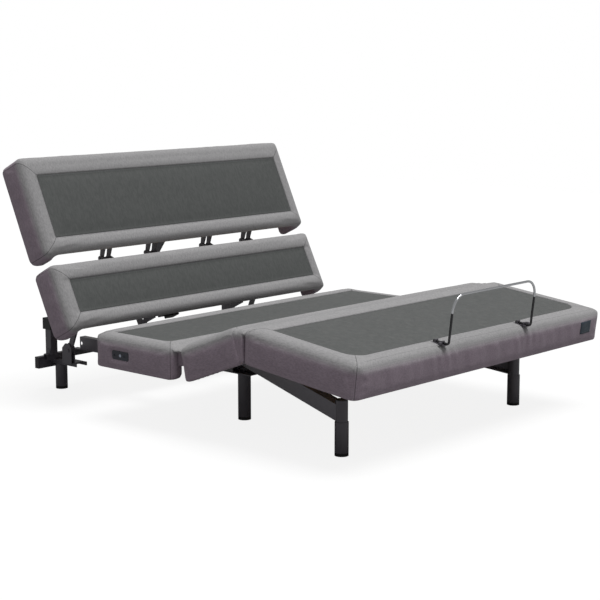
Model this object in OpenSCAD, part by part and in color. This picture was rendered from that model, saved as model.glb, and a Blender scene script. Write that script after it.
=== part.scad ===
// Adjustable bed base for a queen mattress, drawn with its back and knees raised.
// Millimetres. X runs across the bed, +Y points to the head, Z = 0 is the floor.

/* [Sleeping surface] */
// Width of the sleeping surface
bed_width = 1524; // [1400:1:1600]
// Height of the flat deck above the floor
deck_height = 344; // [330:1:380]
// Length of the fixed seat panel
seat_length = 436; // [420:1:460]
// Length of the thigh panel
thigh_length = 298; // [280:1:330]
// Length of the leg panel
leg_length = 526; // [480:1:560]
// Length of the back panel
back_length = 280; // [272:1:300]
// Length of the pillow panel
pillow_length = 420; // [390:1:450]
// Gap between seat and back when the bed is flat
seat_back_gap = 13; // [12:1:18]
// Gap between back and pillow
pillow_gap = 40; // [36:1:46]
// Gap between thigh and leg when the bed is flat
knee_gap = 5.5; // [5:0.5:9]

/* [Panel build] */
// Depth of the padded sides
panel_height = 130; // [122:1:132]
// Foam and fabric over the deck board
foam = 14; // [10:1:18]
// Thickness of the deck board
board = 15; // [12:1:18]
// Width of the wooden side rails
rail_width = 40; // [30:1:46]
// Thickness of the cover on the sides
wrap = 5; // [4:0.5:6]
// Rounding of the top edges
edge_round = 25; // [24:1:28]
// Rounding of the corners seen from above
plan_round = 20; // [16:1:22]
// Rounding of the bottom edge of a closed end
hem_round = 10; // [9:1:11]
// Rounding of the bottom edges at the hinges, which keeps them clear when the knee is raised
hinge_round = 16; // [15:1:18]

/* [Raised pose] */
// Angle of the back panel
back_angle = 63.5; // [50:0.5:65]
// Extra tilt of the pillow panel
pillow_tilt = 1.6; // [0:0.1:3]
// Angle of the thigh panel
thigh_angle = 21; // [12:0.5:24]
// Knee fold for each degree of thigh lift
knee_ratio = 1.319; // [1.25:0.001:1.35]

/* [Back mechanism] */
// Depth of the back pivot below the deck
pivot_drop = 159; // [156:1:162]
// How far the pivot sits behind the lower edge of the back
pivot_setback = 92; // [88:1:94]
// Length of the lift struts
strut_length = 256; // [252:1:262]
// Lead angle of the struts when flat
strut_lead = 3.5; // [3:0.1:5]
// Half width between the struts
strut_x = 535; // [533:1:537]
// Thickness of a strut
strut_thick = 10; // [8:1:11]
// Half width between the back arms
arm_x = 265; // [240:1:280]
// Radius of the pivot shaft
shaft_r = 10; // [8:0.5:11]
// Radius of a carriage roller's axle
axle_r = 6; // [5:0.5:7]
// Depth of the pillow hinge
pillow_hinge_drop = 75; // [70:1:80]
// Length of the tilt motor's horn
horn_length = 70; // [64:1:74]

/* [Foot mechanism] */
// Reach of the thigh hinge from the seat
thigh_reach = 42.6; // [38:0.1:46]
// Distance from the thigh hinge to the thigh panel
thigh_clear = 4.6; // [4.6:0.1:6]
// Depth of the thigh hinge
thigh_drop = 25; // [24:0.5:27]
// Depth of the knee hinge
knee_drop = 112; // [108:1:114]
// Radius of the thigh hinge knuckles
knuckle_r = 4.4; // [4:0.1:4.4]
// Length of the lift arms
lift_arm = 170; // [160:1:175]
// Radius of the lift arm rollers
lift_roller_r = 20; // [17:0.5:20]
// Length of the foot motor's lever
lever_length = 95; // [93:1:97]
// Length of the knee links
link_length = 312.6; // [312:0.1:313]

/* [Frame] */
// Outer radius of the legs
leg_r = 25.4; // [24:0.1:26]
// Wall of the leg tubes
leg_wall = 2; // [1.5:0.1:3]
// Height of the screw-on lower legs
lower_leg = 117; // [100:1:118]
// Radius of the posts inside the foot sleeves
foot_post_r = 22.5; // [20:0.1:23]
// Half width between the head legs
head_leg_x = 491; // [488:1:494]
// Half width between the mid legs
mid_leg_x = 375; // [372:1:378]
// Half width between the foot legs
foot_leg_x = 540; // [520:1:560]
// Distance from the seat's foot edge to the foot legs
foot_leg_y = 636; // [600:1:660]
// Height of the roller channels
channel_height = 56; // [54:1:58]
// Width of the roller channels
channel_width = 30; // [28:1:32]
// Wall of the channels
channel_wall = 3; // [2.5:0.1:3.2]
// Half width over the roller channels
channel_x = 402; // [400:1:404]
// Height of the foot rails
foot_rail_height = 60; // [54:1:62]
// Width of the foot rails
foot_rail_width = 44; // [38:1:46]
// Size of the square tubes
tube = 40; // [36:1:42]
// Width of the flat tubes
tube_thin = 30; // [26:1:32]
// Wall of the tubes
tube_wall = 2.5; // [2:0.1:3]
// Size of the pillow posts
post_size = 35; // [32:1:38]

/* [Retainer] */
// Width between the uprights of the mattress retainer
retainer_width = 517; // [420:1:600]
// How far the retainer stands to the side of the middle
retainer_shift = -27; // [-60:1:60]
// Height of the mattress retainer
retainer_height = 178; // [150:1:240]
// How far the uprights stand out beyond the foot edge
retainer_reach = 16; // [12:1:20]
// Length of the feet that lie on the deck
retainer_foot = 58; // [50:1:80]
// Radius of its rod
retainer_r = 4.5; // [3.5:0.1:5.5]
// Radius of its corners
retainer_corner = 60; // [40:1:80]

/* [Hidden] */
$fn = 64;
eps = 0.01;
run = 0.1;
roll = 0.3;
steel = 3;
plate = 4;
bolt_r = 4;

half_bed = bed_width / 2;
board_low = foam + board;
rail_low = panel_height - plate;
end_block = rail_width + wrap;

pivot_z = deck_height - pivot_drop;
back_flat_y = seat_length + seat_back_gap;
pivot_flat_y = back_flat_y - pivot_setback;
anchor_y = pivot_flat_y + 2 * strut_length * cos(strut_lead);
pivot_y = anchor_y - 2 * strut_length * cos(back_angle + strut_lead);
lug_u = strut_length * cos(strut_lead) - pivot_setback;
lug_w = strut_length * sin(strut_lead) - pivot_drop;
pillow_hinge_u = back_length + pillow_gap / 2;

knee_fold = thigh_angle * knee_ratio;
slope = knee_fold - thigh_angle;
thigh_hinge_z = deck_height - thigh_drop;
knee_y = -thigh_reach - (thigh_clear + thigh_length + knee_gap / 2) * cos(thigh_angle)
    - (knee_drop - thigh_drop) * sin(thigh_angle);
leg_end_y = knee_y - (knee_gap / 2 + leg_length - edge_round) * cos(slope)
    - (knee_drop - edge_round) * sin(slope) - edge_round;
retainer_lift = retainer_r + 2;
bar_end_y = knee_y - (knee_gap / 2 + leg_length + retainer_reach) * cos(slope)
    - (knee_drop + retainer_lift + retainer_height) * sin(slope) - retainer_r;

// The frame's levels above the floor
channel_low = pivot_z - channel_height / 2;
cross_tube = 25;
cross_top = channel_low - plate;
cross_low = cross_top - cross_tube;
saddle_depth = 16;
cross_half = 560;
saddle_low = cross_low - saddle_depth;
saddle_half = leg_r + 0.6 + steel;
side_rail_low = deck_height - 148;
beam_low = deck_height - 135;
beam_y = 12;
foot_post_top = deck_height - 142;
foot_rail_x = 381;
foot_rail_drop = 85;
foot_rail_end_drop = 187;
foot_sleeve_top = deck_height - foot_rail_end_drop - foot_rail_height / 2 - 3;
deck_underside = deck_height - board_low;

// Where things stand along the bed
cross_y = anchor_y + 120;
head_leg_y = cross_y - 7;
head_end_y = cross_y + 2 * cross_tube;
mid_leg_y = 4;
channel_start = pivot_flat_y + 11;
channel_end = cross_y - 26;
side_rail_end = pivot_flat_y + 213;
crossbar_y = [60, 250, seat_length - 40];
frame_centre_y = (head_end_y + min(leg_end_y, bar_end_y)) / 2;

// Carriage
carriage_x = channel_x - 38;
roller_y = [45, 135];
roller_r = channel_height / 2 - channel_wall - roll;
roller_width = 18;
carriage_nose = 65;
motor_pin = 85;

// Foot lift
lift_y = -20;
lift_drop = 60;
lift_z = deck_height - lift_drop;
lift_gap = 1.5;
track = 12;
lift_x = 300;
lift_tube_r = 15;
roller_line = board_low + track - thigh_drop + lift_roller_r + lift_gap;
lift_reach = thigh_reach + lift_y;
lift_angle = thigh_angle + asin((lift_drop - thigh_drop) / lift_arm * cos(thigh_angle)
    - roller_line / lift_arm - lift_reach / lift_arm * sin(thigh_angle));
lever_x = 120;
lever_angle = 4.9;
link_x = 324;
link_y = -56;
link_z = deck_height - 95.6;
horn_s = 10;
horn_drop = 165;
horn_y = knee_y - (horn_s + knee_gap / 2) * cos(slope) + (horn_drop - knee_drop) * sin(slope);
horn_z = deck_height - thigh_drop + (thigh_clear + thigh_length + knee_gap / 2) * sin(thigh_angle)
    - (knee_drop - thigh_drop) * cos(thigh_angle)
    - (horn_s + knee_gap / 2) * sin(slope) - (horn_drop - knee_drop) * cos(slope);
link_angle = atan2(horn_z - link_z, link_y - horn_y);

// Tilt motor
tilt_x = -100;
horn_lead = 12;
tilt_w = pillow_hinge_drop + horn_length * cos(horn_lead);
tilt_u = pillow_hinge_u - horn_length * sin(horn_lead);
tilt_pin_u = pillow_hinge_u - horn_length * sin(horn_lead - pillow_tilt);

outer_hinge_x = half_bed - 162;
outer_knee_x = half_bed - 122;
thigh_hinge_x = [-outer_hinge_x, -200, 200, outer_hinge_x];
knee_hinge_x = [-outer_knee_x, -150, 150, outer_knee_x];
pillow_hinge_x = [-420, -165, 165, 420];

// ---- Frames of the moving panels ----

// Everything is drawn from the seat's foot edge and moved so that the part is centred.
module bed() translate([0, -frame_centre_y, 0]) children();
module both_sides() {
    children();
    mirror([1, 0, 0]) children();
}
module seat_at() bed() translate([0, 0, deck_height]) children();
module back_at() bed() translate([0, pivot_y, pivot_z]) rotate([back_angle, 0, 0])
    translate([0, pivot_setback, pivot_drop]) children();
module pillow_at() back_at() translate([0, pillow_hinge_u, -pillow_hinge_drop])
    rotate([pillow_tilt, 0, 0]) translate([0, pillow_gap / 2, pillow_hinge_drop]) children();
// The thigh and the leg run towards -Y from their head edges.
module thigh_at() seat_at() translate([0, -thigh_reach, -thigh_drop])
    rotate([-thigh_angle, 0, 0]) translate([0, -thigh_clear, thigh_drop]) children();
module leg_at() thigh_at() translate([0, -thigh_length - knee_gap / 2, -knee_drop])
    rotate([knee_fold, 0, 0]) translate([0, -knee_gap / 2, knee_drop]) children();
module turned() mirror([0, 1, 0]) children();

// ---- Shared shapes ----

module box(x, y, z) translate([x[0], y[0], z[0]]) cube([x[1] - x[0], y[1] - y[0], z[1] - z[0]]);

// A round bar along X from x0 to x1 at (y, z)
module rod_x(x0, x1, y, z, r) translate([x0, y, z]) rotate([0, 90, 0]) cylinder(h = x1 - x0, r = r);

// A round bar along Y
module rod_y(y0, y1, x, z, r) translate([x, y0, z]) rotate([-90, 0, 0]) cylinder(h = y1 - y0, r = r);

// A side view drawn in (Y, Z), made thick from x0 to x1
module side_plate(x0, x1) translate([x0, 0, 0]) rotate([90, 0, 90]) linear_extrude(x1 - x0) children();

// A rectangular tube along X
module tube_x(x0, x1, y, z, wall) difference() {
    box([x0, x1], y, z);
    box([x0 - 1, x1 + 1], [y[0] + wall, y[1] - wall], [z[0] + wall, z[1] - wall]);
}

// A rectangular tube along Y
module tube_y(x, y0, y1, z, wall) difference() {
    box(x, [y0, y1], z);
    box([x[0] + wall, x[1] - wall], [y0 - 1, y1 + 1], [z[0] + wall, z[1] - wall]);
}

// Two round eyes joined by a flat bar, from (0, 0) to (length, 0)
module link_shape(length, eye, width) {
    circle(r = eye);
    translate([length, 0]) circle(r = eye);
    translate([0, -width / 2]) square([length, width]);
}

module rounded_rect(x, y, r) {
    translate([-x / 2 + r, -y / 2]) square([x - 2 * r, y]);
    translate([-x / 2, -y / 2 + r]) square([x, y - 2 * r]);
    for (sx = [-1, 1], sy = [-1, 1])
        translate([sx * (x / 2 - r), sy * (y / 2 - r)]) circle(r = r);
}

// A profile hanging below y = 0, with its top and bottom corners rounded
module hanging_profile(width, height, top, bottom) {
    translate([-width / 2, -height + bottom]) square([width, height - top - bottom]);
    translate([-width / 2 + top, -top - eps]) square([width - 2 * top, top + eps]);
    translate([-width / 2 + bottom, -height]) square([width - 2 * bottom, bottom + eps]);
    for (s = [-1, 1]) {
        translate([s * (width / 2 - top), -top]) circle(r = top);
        translate([s * (width / 2 - bottom), -height + bottom]) circle(r = bottom);
    }
}

// The side view of a panel from its hinge at y = 0 to its far end
module end_profile(length, far_hem) {
    for (y = [edge_round, length - edge_round]) translate([y, -edge_round]) circle(r = edge_round);
    translate([hinge_round, hinge_round - panel_height]) circle(r = hinge_round);
    translate([length - far_hem, far_hem - panel_height]) circle(r = far_hem);
    polygon([[edge_round, 0], [length - edge_round, 0], [length, -edge_round],
        [length, far_hem - panel_height], [length - far_hem, -panel_height],
        [hinge_round, -panel_height], [0, hinge_round - panel_height], [0, -edge_round]]);
}

// ---- Upholstered panels, each drawn from y = 0 to y = length, top at z = 0 ----

module deck_board(length) color("burlywood")
    translate([0, length / 2, -board_low]) linear_extrude(board)
        rounded_rect(bed_width - 2 * wrap, length - 2 * wrap, plan_round - wrap);

module deck_rails(length, closed) color("burlywood") intersection() {
    union() {
        both_sides() box([half_bed - end_block, half_bed], [2 * wrap, length - 2 * wrap],
            [-rail_low, -board_low]);
        if (closed) box([-half_bed + end_block, half_bed - end_block],
            [length - end_block, length], [-rail_low, -board_low]);
    }
    translate([0, length / 2, -panel_height]) linear_extrude(panel_height)
        rounded_rect(bed_width - 2 * wrap, length - 2 * wrap, plan_round - wrap);
}

// The cover wraps the board and the rails. An open end shows only the padded board edge
// between the side rails, so that hinges and arms can pass beneath it.
module deck_cover(length, closed) color("dimgray") difference() {
    intersection() {
        translate([0, length, 0]) rotate([90, 0, 0]) linear_extrude(length)
            hanging_profile(bed_width, panel_height, edge_round, plate);
        side_plate(-half_bed, half_bed) end_profile(length, closed ? hem_round : hinge_round);
        translate([0, length / 2, -panel_height]) linear_extrude(panel_height)
            rounded_rect(bed_width, length, plan_round);
    }
    translate([0, length / 2, -panel_height - 1]) linear_extrude(panel_height + 1 - foam)
        rounded_rect(bed_width - 2 * wrap, length - 2 * wrap, plan_round - wrap);
    box([-half_bed + end_block, half_bed - end_block], [-1, 2 * wrap], [-panel_height - 1, -board_low]);
    if (!closed) box([-half_bed + end_block, half_bed - end_block],
        [length - 2 * wrap, length + 1], [-panel_height - 1, -board_low]);
}

// ---- Legs ----

module leg_sites() {
    translate([head_leg_x, head_leg_y, 0]) children(0);
    translate([mid_leg_x, mid_leg_y, 0]) children(1);
    translate([foot_leg_x, -foot_leg_y, 0]) children(2);
}
glide = 12;
stud_r = 6;

module screw_leg(top) difference() {
    translate([0, 0, glide]) cylinder(h = top - glide, r = leg_r);
    translate([0, 0, glide - 1]) cylinder(h = top - glide + 1 - plate, r = leg_r - leg_wall);
    cylinder(h = top + 1, r = stud_r + run);
}

module lower_legs() color("#1c1d20") bed() both_sides() leg_sites() {
    screw_leg(saddle_low + saddle_depth - steel);
    screw_leg(lower_leg);
    difference() {
        translate([0, 0, glide]) cylinder(h = foot_sleeve_top - glide, r = leg_r);
        cylinder(h = deck_height, r = foot_post_r + run);
    }
}

module leg_glides() color("#111213") bed() both_sides() leg_sites() {
    foot_glide(leg_r - leg_wall);
    foot_glide(leg_r - leg_wall);
    foot_glide(foot_post_r);
}
module foot_glide(plug) {
    cylinder(h = glide, r = leg_r);
    cylinder(h = 2.5 * glide, r = plug - run);
}

// Extensions: a screwed post over each mid leg, a round post in each foot sleeve
module leg_posts() color("#1f2024") bed() both_sides() {
    translate([mid_leg_x, mid_leg_y, 0]) difference() {
        translate([0, 0, lower_leg]) cylinder(h = side_rail_low - plate - lower_leg, r = leg_r);
        translate([0, 0, lower_leg + plate])
            cylinder(h = side_rail_low - lower_leg, r = leg_r - leg_wall);
        cylinder(h = deck_height, r = stud_r + run);
    }
    translate([foot_leg_x, -foot_leg_y, 0]) difference() {
        translate([0, 0, 60]) cylinder(h = foot_post_top - 60, r = foot_post_r);
        translate([0, 0, 59]) cylinder(h = deck_height, r = foot_post_r - leg_wall);
    }
}

// ---- Base frame ----

module mid_leg_plates() color("#232428") bed() both_sides() {
    box([mid_leg_x - 29, channel_x + tube_thin + 2], [-80, 75], [side_rail_low - plate, side_rail_low]);
    box([mid_leg_x - 23, mid_leg_x + 22], [mid_leg_y - 20, mid_leg_y + 24], [side_rail_low, beam_low]);
}

module side_rails() color("#232428") bed() both_sides()
    tube_y([channel_x, channel_x + tube_thin], beam_y, side_rail_end,
        [side_rail_low, side_rail_low + tube], tube_wall);

module mid_beam() color("#232428") bed() {
    tube_x(-channel_x, channel_x, [beam_y, beam_y + tube_thin], [beam_low, beam_low + tube], tube_wall);
    // Lugs that carry the lift tube
    for (s = [-1, 1]) difference() {
        union() {
            rod_x(s * 345 - 3, s * 345 + 3, lift_y, lift_z, 15);
            side_plate(s * 345 - 3, s * 345 + 3)
                polygon([[lift_y - 15, lift_z], [lift_y + 15, lift_z], [beam_y + 20, beam_low + tube],
                    [beam_y + 20, beam_low + tube - tube_wall + eps], [beam_y - 2 * steel, beam_low + tube],
                    [beam_y - 2 * steel, beam_low + tube]]);
        }
        rod_x(s * 345 - 5, s * 345 + 5, lift_y, lift_z, 8 + run);
        box([s * 345 - 5, s * 345 + 5], [beam_y - eps, beam_y + tube_thin], [beam_low, beam_low + tube]);
    }
    // Lugs that carry the knee links
    for (s = [-1, 1]) difference() {
        union() {
            rod_x(s * (link_x - 8) - 3, s * (link_x - 8) + 3, link_y, link_z, 13);
            side_plate(s * (link_x - 8) - 3, s * (link_x - 8) + 3)
                polygon([[link_y, link_z - 13], [beam_y, beam_low + 2], [beam_y, beam_low + tube - 4],
                    [link_y, link_z + 13]]);
        }
        rod_x(s * (link_x - 8) - 5, s * (link_x - 8) + 5, link_y, link_z, 5 + run);
    }
}

module foot_rails() color("#3a3a40") bed() both_sides() {
    dx = foot_leg_x - foot_rail_x;
    dy = foot_leg_y + beam_y;
    dz = foot_rail_end_drop - foot_rail_drop;
    splay = atan(dx / dy);
    fall = atan(dz / sqrt(dx * dx + dy * dy));
    span = sqrt(dx * dx + dy * dy + dz * dz);
    difference() {
        translate([foot_rail_x, beam_y, deck_height - foot_rail_drop]) rotate([0, 0, splay])
            rotate([fall, 0, 0]) difference() {
                box([-foot_rail_width / 2, foot_rail_width / 2], [-span, tube_thin],
                    [-foot_rail_height / 2, foot_rail_height / 2]);
                box([-foot_rail_width, foot_rail_width / 2 - channel_wall], [-span - 1, tube_thin + 1],
                    [-foot_rail_height / 2 + channel_wall, foot_rail_height / 2 - channel_wall]);
            }
        box([0, half_bed], [beam_y, seat_length], [0, deck_height]);
        translate([foot_leg_x, -foot_leg_y, 0]) cylinder(h = deck_height, r = foot_post_r);
        box([0, half_bed], [-foot_leg_y - 2 * leg_r, -foot_leg_y], [0, deck_height]);
    }
}

module roller_channels() color("#1b1c1f") bed() both_sides() difference() {
    box([channel_x - channel_width, channel_x], [channel_start, channel_end],
        [channel_low, channel_low + channel_height]);
    box([channel_x - channel_width - 1, channel_x - channel_wall], [channel_start - 1, channel_end + 1],
        [channel_low + channel_wall, channel_low + channel_height - channel_wall]);
    rod_x(channel_x - channel_width, channel_x + 1, channel_end - 10, pivot_z, 7);
}

module head_cross_tube() color("#1b1c1f") bed() {
    tube_x(-cross_half, cross_half, [cross_y, cross_y + cross_tube], [cross_low, cross_top], tube_wall);
    both_sides() box([channel_x - channel_width, channel_x], [channel_end - 40, cross_y + cross_tube],
        [cross_top, channel_low]);
}

// Upside-down channels on top of the head legs; they also carry the strut brackets
module leg_saddles() color("#2a2a30") bed() both_sides() difference() {
    box([head_leg_x - saddle_half, head_leg_x + saddle_half], [anchor_y - 22, cross_y + cross_tube],
        [saddle_low, cross_low]);
    box([head_leg_x - saddle_half + steel, head_leg_x + saddle_half - steel],
        [anchor_y - 23, cross_y + cross_tube + 1], [saddle_low - 1, cross_low - steel]);
    translate([head_leg_x, head_leg_y, 0]) cylinder(h = deck_height, r = stud_r + run);
}

// Rectangular tube ends behind the cross tube, where a headboard bracket is bolted on
socket_low = cross_low - 35;
socket_high = cross_top - 11;
socket_in = 470;
socket_out = 584;
headboard_bolts = [500, 560];
module headboard_sockets() color("#1b1c1f") bed() both_sides() difference() {
    tube_x(socket_in, socket_out, [cross_y + cross_tube, head_end_y], [socket_low, socket_high],
        tube_wall);
    for (x = headboard_bolts)
        rod_y(cross_y + cross_tube + tube_wall + 1, head_end_y + 1, x, (socket_low + socket_high) / 2, 4.5);
}

module end_caps() color("#4a4a52") bed() both_sides() {
    box([socket_out, socket_out + 3], [cross_y + cross_tube, head_end_y], [socket_low, socket_high]);
    box([socket_out - 15, socket_out], [cross_y + cross_tube + tube_wall, head_end_y - tube_wall],
        [socket_low + tube_wall, socket_high - tube_wall]);
    translate([foot_leg_x, -foot_leg_y, foot_post_top]) cylinder(h = 3, r = foot_post_r);
    translate([foot_leg_x, -foot_leg_y, foot_post_top - 15]) cylinder(h = 15, r = foot_post_r - leg_wall);
}

post_x = strut_x - 5;
post_y = cross_y + 7;
bumper_top = deck_underside - 6;
module pillow_posts() color("#202126") bed() both_sides() {
    difference() {
        box([post_x - post_size / 2, post_x + post_size / 2],
            [post_y - post_size / 2, post_y + post_size / 2], [cross_top, bumper_top - 6]);
        box([post_x - post_size / 2 + tube_wall, post_x + post_size / 2 - tube_wall],
            [post_y - post_size / 2 + tube_wall, post_y + post_size / 2 - tube_wall],
            [cross_top + tube_wall, deck_height]);
    }
    // Foot bracket on the outer side
    box([post_x + post_size / 2, post_x + post_size / 2 + steel],
        [post_y - cross_tube / 2, post_y + cross_tube / 2], [cross_top, cross_top + 22]);
    box([post_x + post_size / 2 + steel, cross_half],
        [post_y - cross_tube / 2, post_y + cross_tube / 2], [cross_top, cross_top + steel]);
}

module post_bumpers() color("#141416") bed() both_sides() difference() {
    box([post_x - 25, post_x + 25], [post_y - 25, post_y + 25], [bumper_top - 48, bumper_top]);
    box([post_x - post_size / 2, post_x + post_size / 2],
        [post_y - post_size / 2, post_y + post_size / 2], [bumper_top - 49, bumper_top - 6]);
}

ear_gap = strut_thick / 2 + 1;
ear = 5;
pin_r = 8;
module strut_brackets() color("#161618") bed() both_sides() {
    for (x = [strut_x - ear_gap - ear, strut_x + ear_gap]) difference() {
        side_plate(x, x + ear) polygon([[anchor_y - 20, cross_low + plate],
            [anchor_y + 38, cross_low + plate], [anchor_y + 38, pivot_z + 8],
            [anchor_y + 18, pivot_z + 28], [anchor_y - 8, pivot_z + 28], [anchor_y - 20, pivot_z + 14]]);
        rod_x(x - 1, x + ear + 1, anchor_y, pivot_z, pin_r + run);
    }
    box([head_leg_x - 10, strut_x + ear_gap + ear], [anchor_y - 20, anchor_y + 38],
        [cross_low, cross_low + plate]);
    rod_x(strut_x - ear_gap - ear - 3, strut_x + ear_gap + ear + 3, anchor_y, pivot_z, pin_r);
}

module seat_crossbars() color("#232428") bed() for (y = crossbar_y) {
    tube_x(-channel_x - tube_thin, channel_x + tube_thin, [y - 15, y + 15],
        [deck_underside - tube, deck_underside], tube_wall);
    for (s = [-1, 1]) box([s * (channel_x + 15) - 12, s * (channel_x + 15) + 12], [y - 12, y + 12],
        [side_rail_low + tube, deck_underside - tube]);
}

// ---- Seat ----

module seat_board() seat_at() deck_board(seat_length);
module seat_rails() seat_at() deck_rails(seat_length, false);
port_y = 292;
port_low = 90;
port_size = [92, 34];
port_depth = 3;
module seat_cover() seat_at() difference() {
    deck_cover(seat_length, false);
    box([-half_bed - 1, -half_bed + port_depth], [port_y - port_size[0] / 2, port_y + port_size[0] / 2],
        [-port_low, -port_low + port_size[1]]);
}

// Straps under the seat board that reach out to the thigh hinge
hinge_width = 60;
knuckle = 20;
module thigh_hinge_leaves() color("#1b1c1f") seat_at() for (x = thigh_hinge_x) {
    difference() {
        union() {
            box([x - hinge_width / 2, x + hinge_width / 2], [0, 42], [-board_low - plate, -board_low]);
            box([x - knuckle / 2, x + knuckle / 2], [-thigh_reach, 0],
                [-board_low - plate, -thigh_drop]);
            rod_x(x - knuckle / 2, x + knuckle / 2, -thigh_reach, -thigh_drop, knuckle_r);
        }
        rod_x(x - knuckle, x + knuckle, -thigh_reach, -thigh_drop, 2.5 + run / 2);
    }
    rod_x(x - hinge_width / 2, x + hinge_width / 2, -thigh_reach, -thigh_drop, 2.5);
}

port_button_r = 6;
button_travel = 1.2;
module port_plate() color("#22262e") seat_at() difference() {
    box([-half_bed, -half_bed + port_depth], [port_y - port_size[0] / 2, port_y + port_size[0] / 2],
        [-port_low, -port_low + port_size[1]]);
    // Two charging sockets as shallow recesses
    for (s = [-1, 1])
        box([-half_bed - 1, -half_bed + 1.5], [port_y + s * 28 - 7, port_y + s * 28 + 7],
            [-port_low + port_size[1] / 2 - 3.5, -port_low + port_size[1] / 2 + 3.5]);
    rod_x(-half_bed - 1, -half_bed + port_depth + 1, port_y, -port_low + port_size[1] / 2,
        port_button_r + roll);
}
module port_button() color("#c8ccd2") seat_at()
    rod_x(-half_bed, -half_bed + port_depth - button_travel - 0.1, port_y, -port_low + port_size[1] / 2,
        port_button_r);

// ---- Motors and electrics ----

motor_tube_r = 20;
motor_rod_r = 10;
head_pin_y = -201;
motor_bore_y = -118;
motor_mouth = pivot_flat_y - motor_pin - 30;
module head_motor() color("#2b2d31") bed() {
    difference() {
        rod_y(-125, motor_mouth, 0, pivot_z, motor_tube_r);
        rod_y(motor_bore_y, motor_mouth + 1, 0, pivot_z, motor_rod_r + run);
    }
    box([-33, 33], [-180, -125], [pivot_z - 33, pivot_z + 33]);
    rod_y(-170, -60, 0, pivot_z + 65, 28);
    difference() {
        box([-12, 12], [head_pin_y - 12, -180], [pivot_z - 12, pivot_z + 12]);
        rod_x(-20, 20, head_pin_y, pivot_z, 6 + run);
    }
}

foot_pin_y = 255;
foot_rod_z = lift_z - lever_length * cos(lever_angle);
foot_mouth = 48;
module foot_motor() color("#2b2d31") bed() {
    difference() {
        rod_y(foot_mouth, 215, lever_x, foot_rod_z, motor_tube_r);
        rod_y(foot_mouth - 1, 205, lever_x, foot_rod_z, motor_rod_r - 1 + run);
    }
    box([lever_x - 30, lever_x + 30], [205 + 10, 243], [foot_rod_z - 30, foot_rod_z + 30]);
    rod_y(110, 215, lever_x + 55, foot_rod_z, 24);
    box([lever_x + 20, lever_x + 79], [215, 243], [foot_rod_z - 24, foot_rod_z + 24]);
    difference() {
        box([lever_x - 12, lever_x + 12], [243, foot_pin_y + 12], [foot_rod_z - 12, foot_rod_z + 12]);
        rod_x(lever_x - 20, lever_x + 20, foot_pin_y, foot_rod_z, 6 + run);
    }
}

module motor_mounts() color("#1b1c1f") bed() {
    for (s = [-1, 1]) difference() {
        side_plate(s * 41 - 3, s * 41 + 3)
            polygon([[beam_y, beam_low + tube], [beam_y, beam_low], [-20, pivot_z - 19],
                [head_pin_y - 14, pivot_z - 19], [head_pin_y - 14, pivot_z + 19], [-60, pivot_z + 19],
                [-8, beam_low + tube]]);
        rod_x(s * 41 - 5, s * 41 + 5, head_pin_y, pivot_z, 6 + run);
    }
    rod_x(-46, 46, head_pin_y, pivot_z, 6);
    for (s = [-1, 1]) difference() {
        box([lever_x + s * 16 - 3, lever_x + s * 16 + 3], [foot_pin_y - 11.5, foot_pin_y + 12],
            [foot_rod_z - 14, deck_underside - tube]);
        rod_x(lever_x + s * 16 - 5, lever_x + s * 16 + 5, foot_pin_y, foot_rod_z, 6 + run);
    }
    rod_x(lever_x - 21, lever_x + 21, foot_pin_y, foot_rod_z, 6);
}

control_x = [-330, -170];
control_y = [95, 215];
inlet_size = [18, 10];
inlet_y = 125;
inlet_z = deck_underside - 26;
module inlet_hole(depth) translate([control_x[0] - 1, inlet_y, inlet_z]) rotate([90, 0, 90])
    linear_extrude(depth + 1) rounded_rect(inlet_size[0], inlet_size[1], 4.9);
module control_box() color("#141416") bed() difference() {
    box(control_x, control_y, [deck_underside - 46, deck_underside]);
    box([control_x[0] - 1, control_x[0] + 14], [inlet_y - 14, inlet_y + 14], [inlet_z - 9, inlet_z + 9]);
}
module mains_inlet() color("#0c0c0d") bed() difference() {
    box([control_x[0] - 2, control_x[0] + 14], [inlet_y - 14, inlet_y + 14], [inlet_z - 9, inlet_z + 9]);
    translate([-2, 0, 0]) inlet_hole(13);
}

// ---- Fasteners ----

module hex_bolt(length) {
    cylinder(h = length, r = bolt_r);
    rotate([180, 0, 0]) cylinder(h = 5.3, r = 7.5, $fn = 6);
}
module frame_bolts() color("#8a8d92") bed() both_sides() {
    // Leg studs
    translate([head_leg_x, head_leg_y, saddle_low - 10]) cylinder(h = saddle_depth + 10 - steel, r = stud_r);
    translate([mid_leg_x, mid_leg_y, lower_leg - 25]) cylinder(h = 50, r = stud_r);
    // Seat bolts through the crossbar ends, clear of the mid leg plates
    for (y = [crossbar_y[1], crossbar_y[2]]) translate([channel_x + 15, y, side_rail_low]) rotate([180, 0, 0])
        mirror([0, 0, 1]) translate([0, 0, -5.3]) cylinder(h = 5.3, r = 7.5, $fn = 6);
    // Bolts that hold the roller channels to their side rails
    for (y = [channel_start + 40, side_rail_end - 30])
        translate([channel_x + tube_thin, y, side_rail_low + 10]) rotate([0, 90, 0])
            cylinder(h = 5.3, r = 7.5, $fn = 6);
}

// ---- Back lift ----

module lift_struts() color("#17181b") bed() both_sides()
    translate([0, anchor_y, pivot_z]) rotate([-(back_angle + strut_lead), 0, 0]) difference() {
        side_plate(strut_x - strut_thick / 2, strut_x + strut_thick / 2)
            mirror([1, 0]) link_shape(strut_length, 16, 24);
        rod_x(strut_x - 20, strut_x + 20, 0, 0, pin_r + run);
        rod_x(strut_x - 20, strut_x + 20, -strut_length, 0, pin_r + run);
    }

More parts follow.
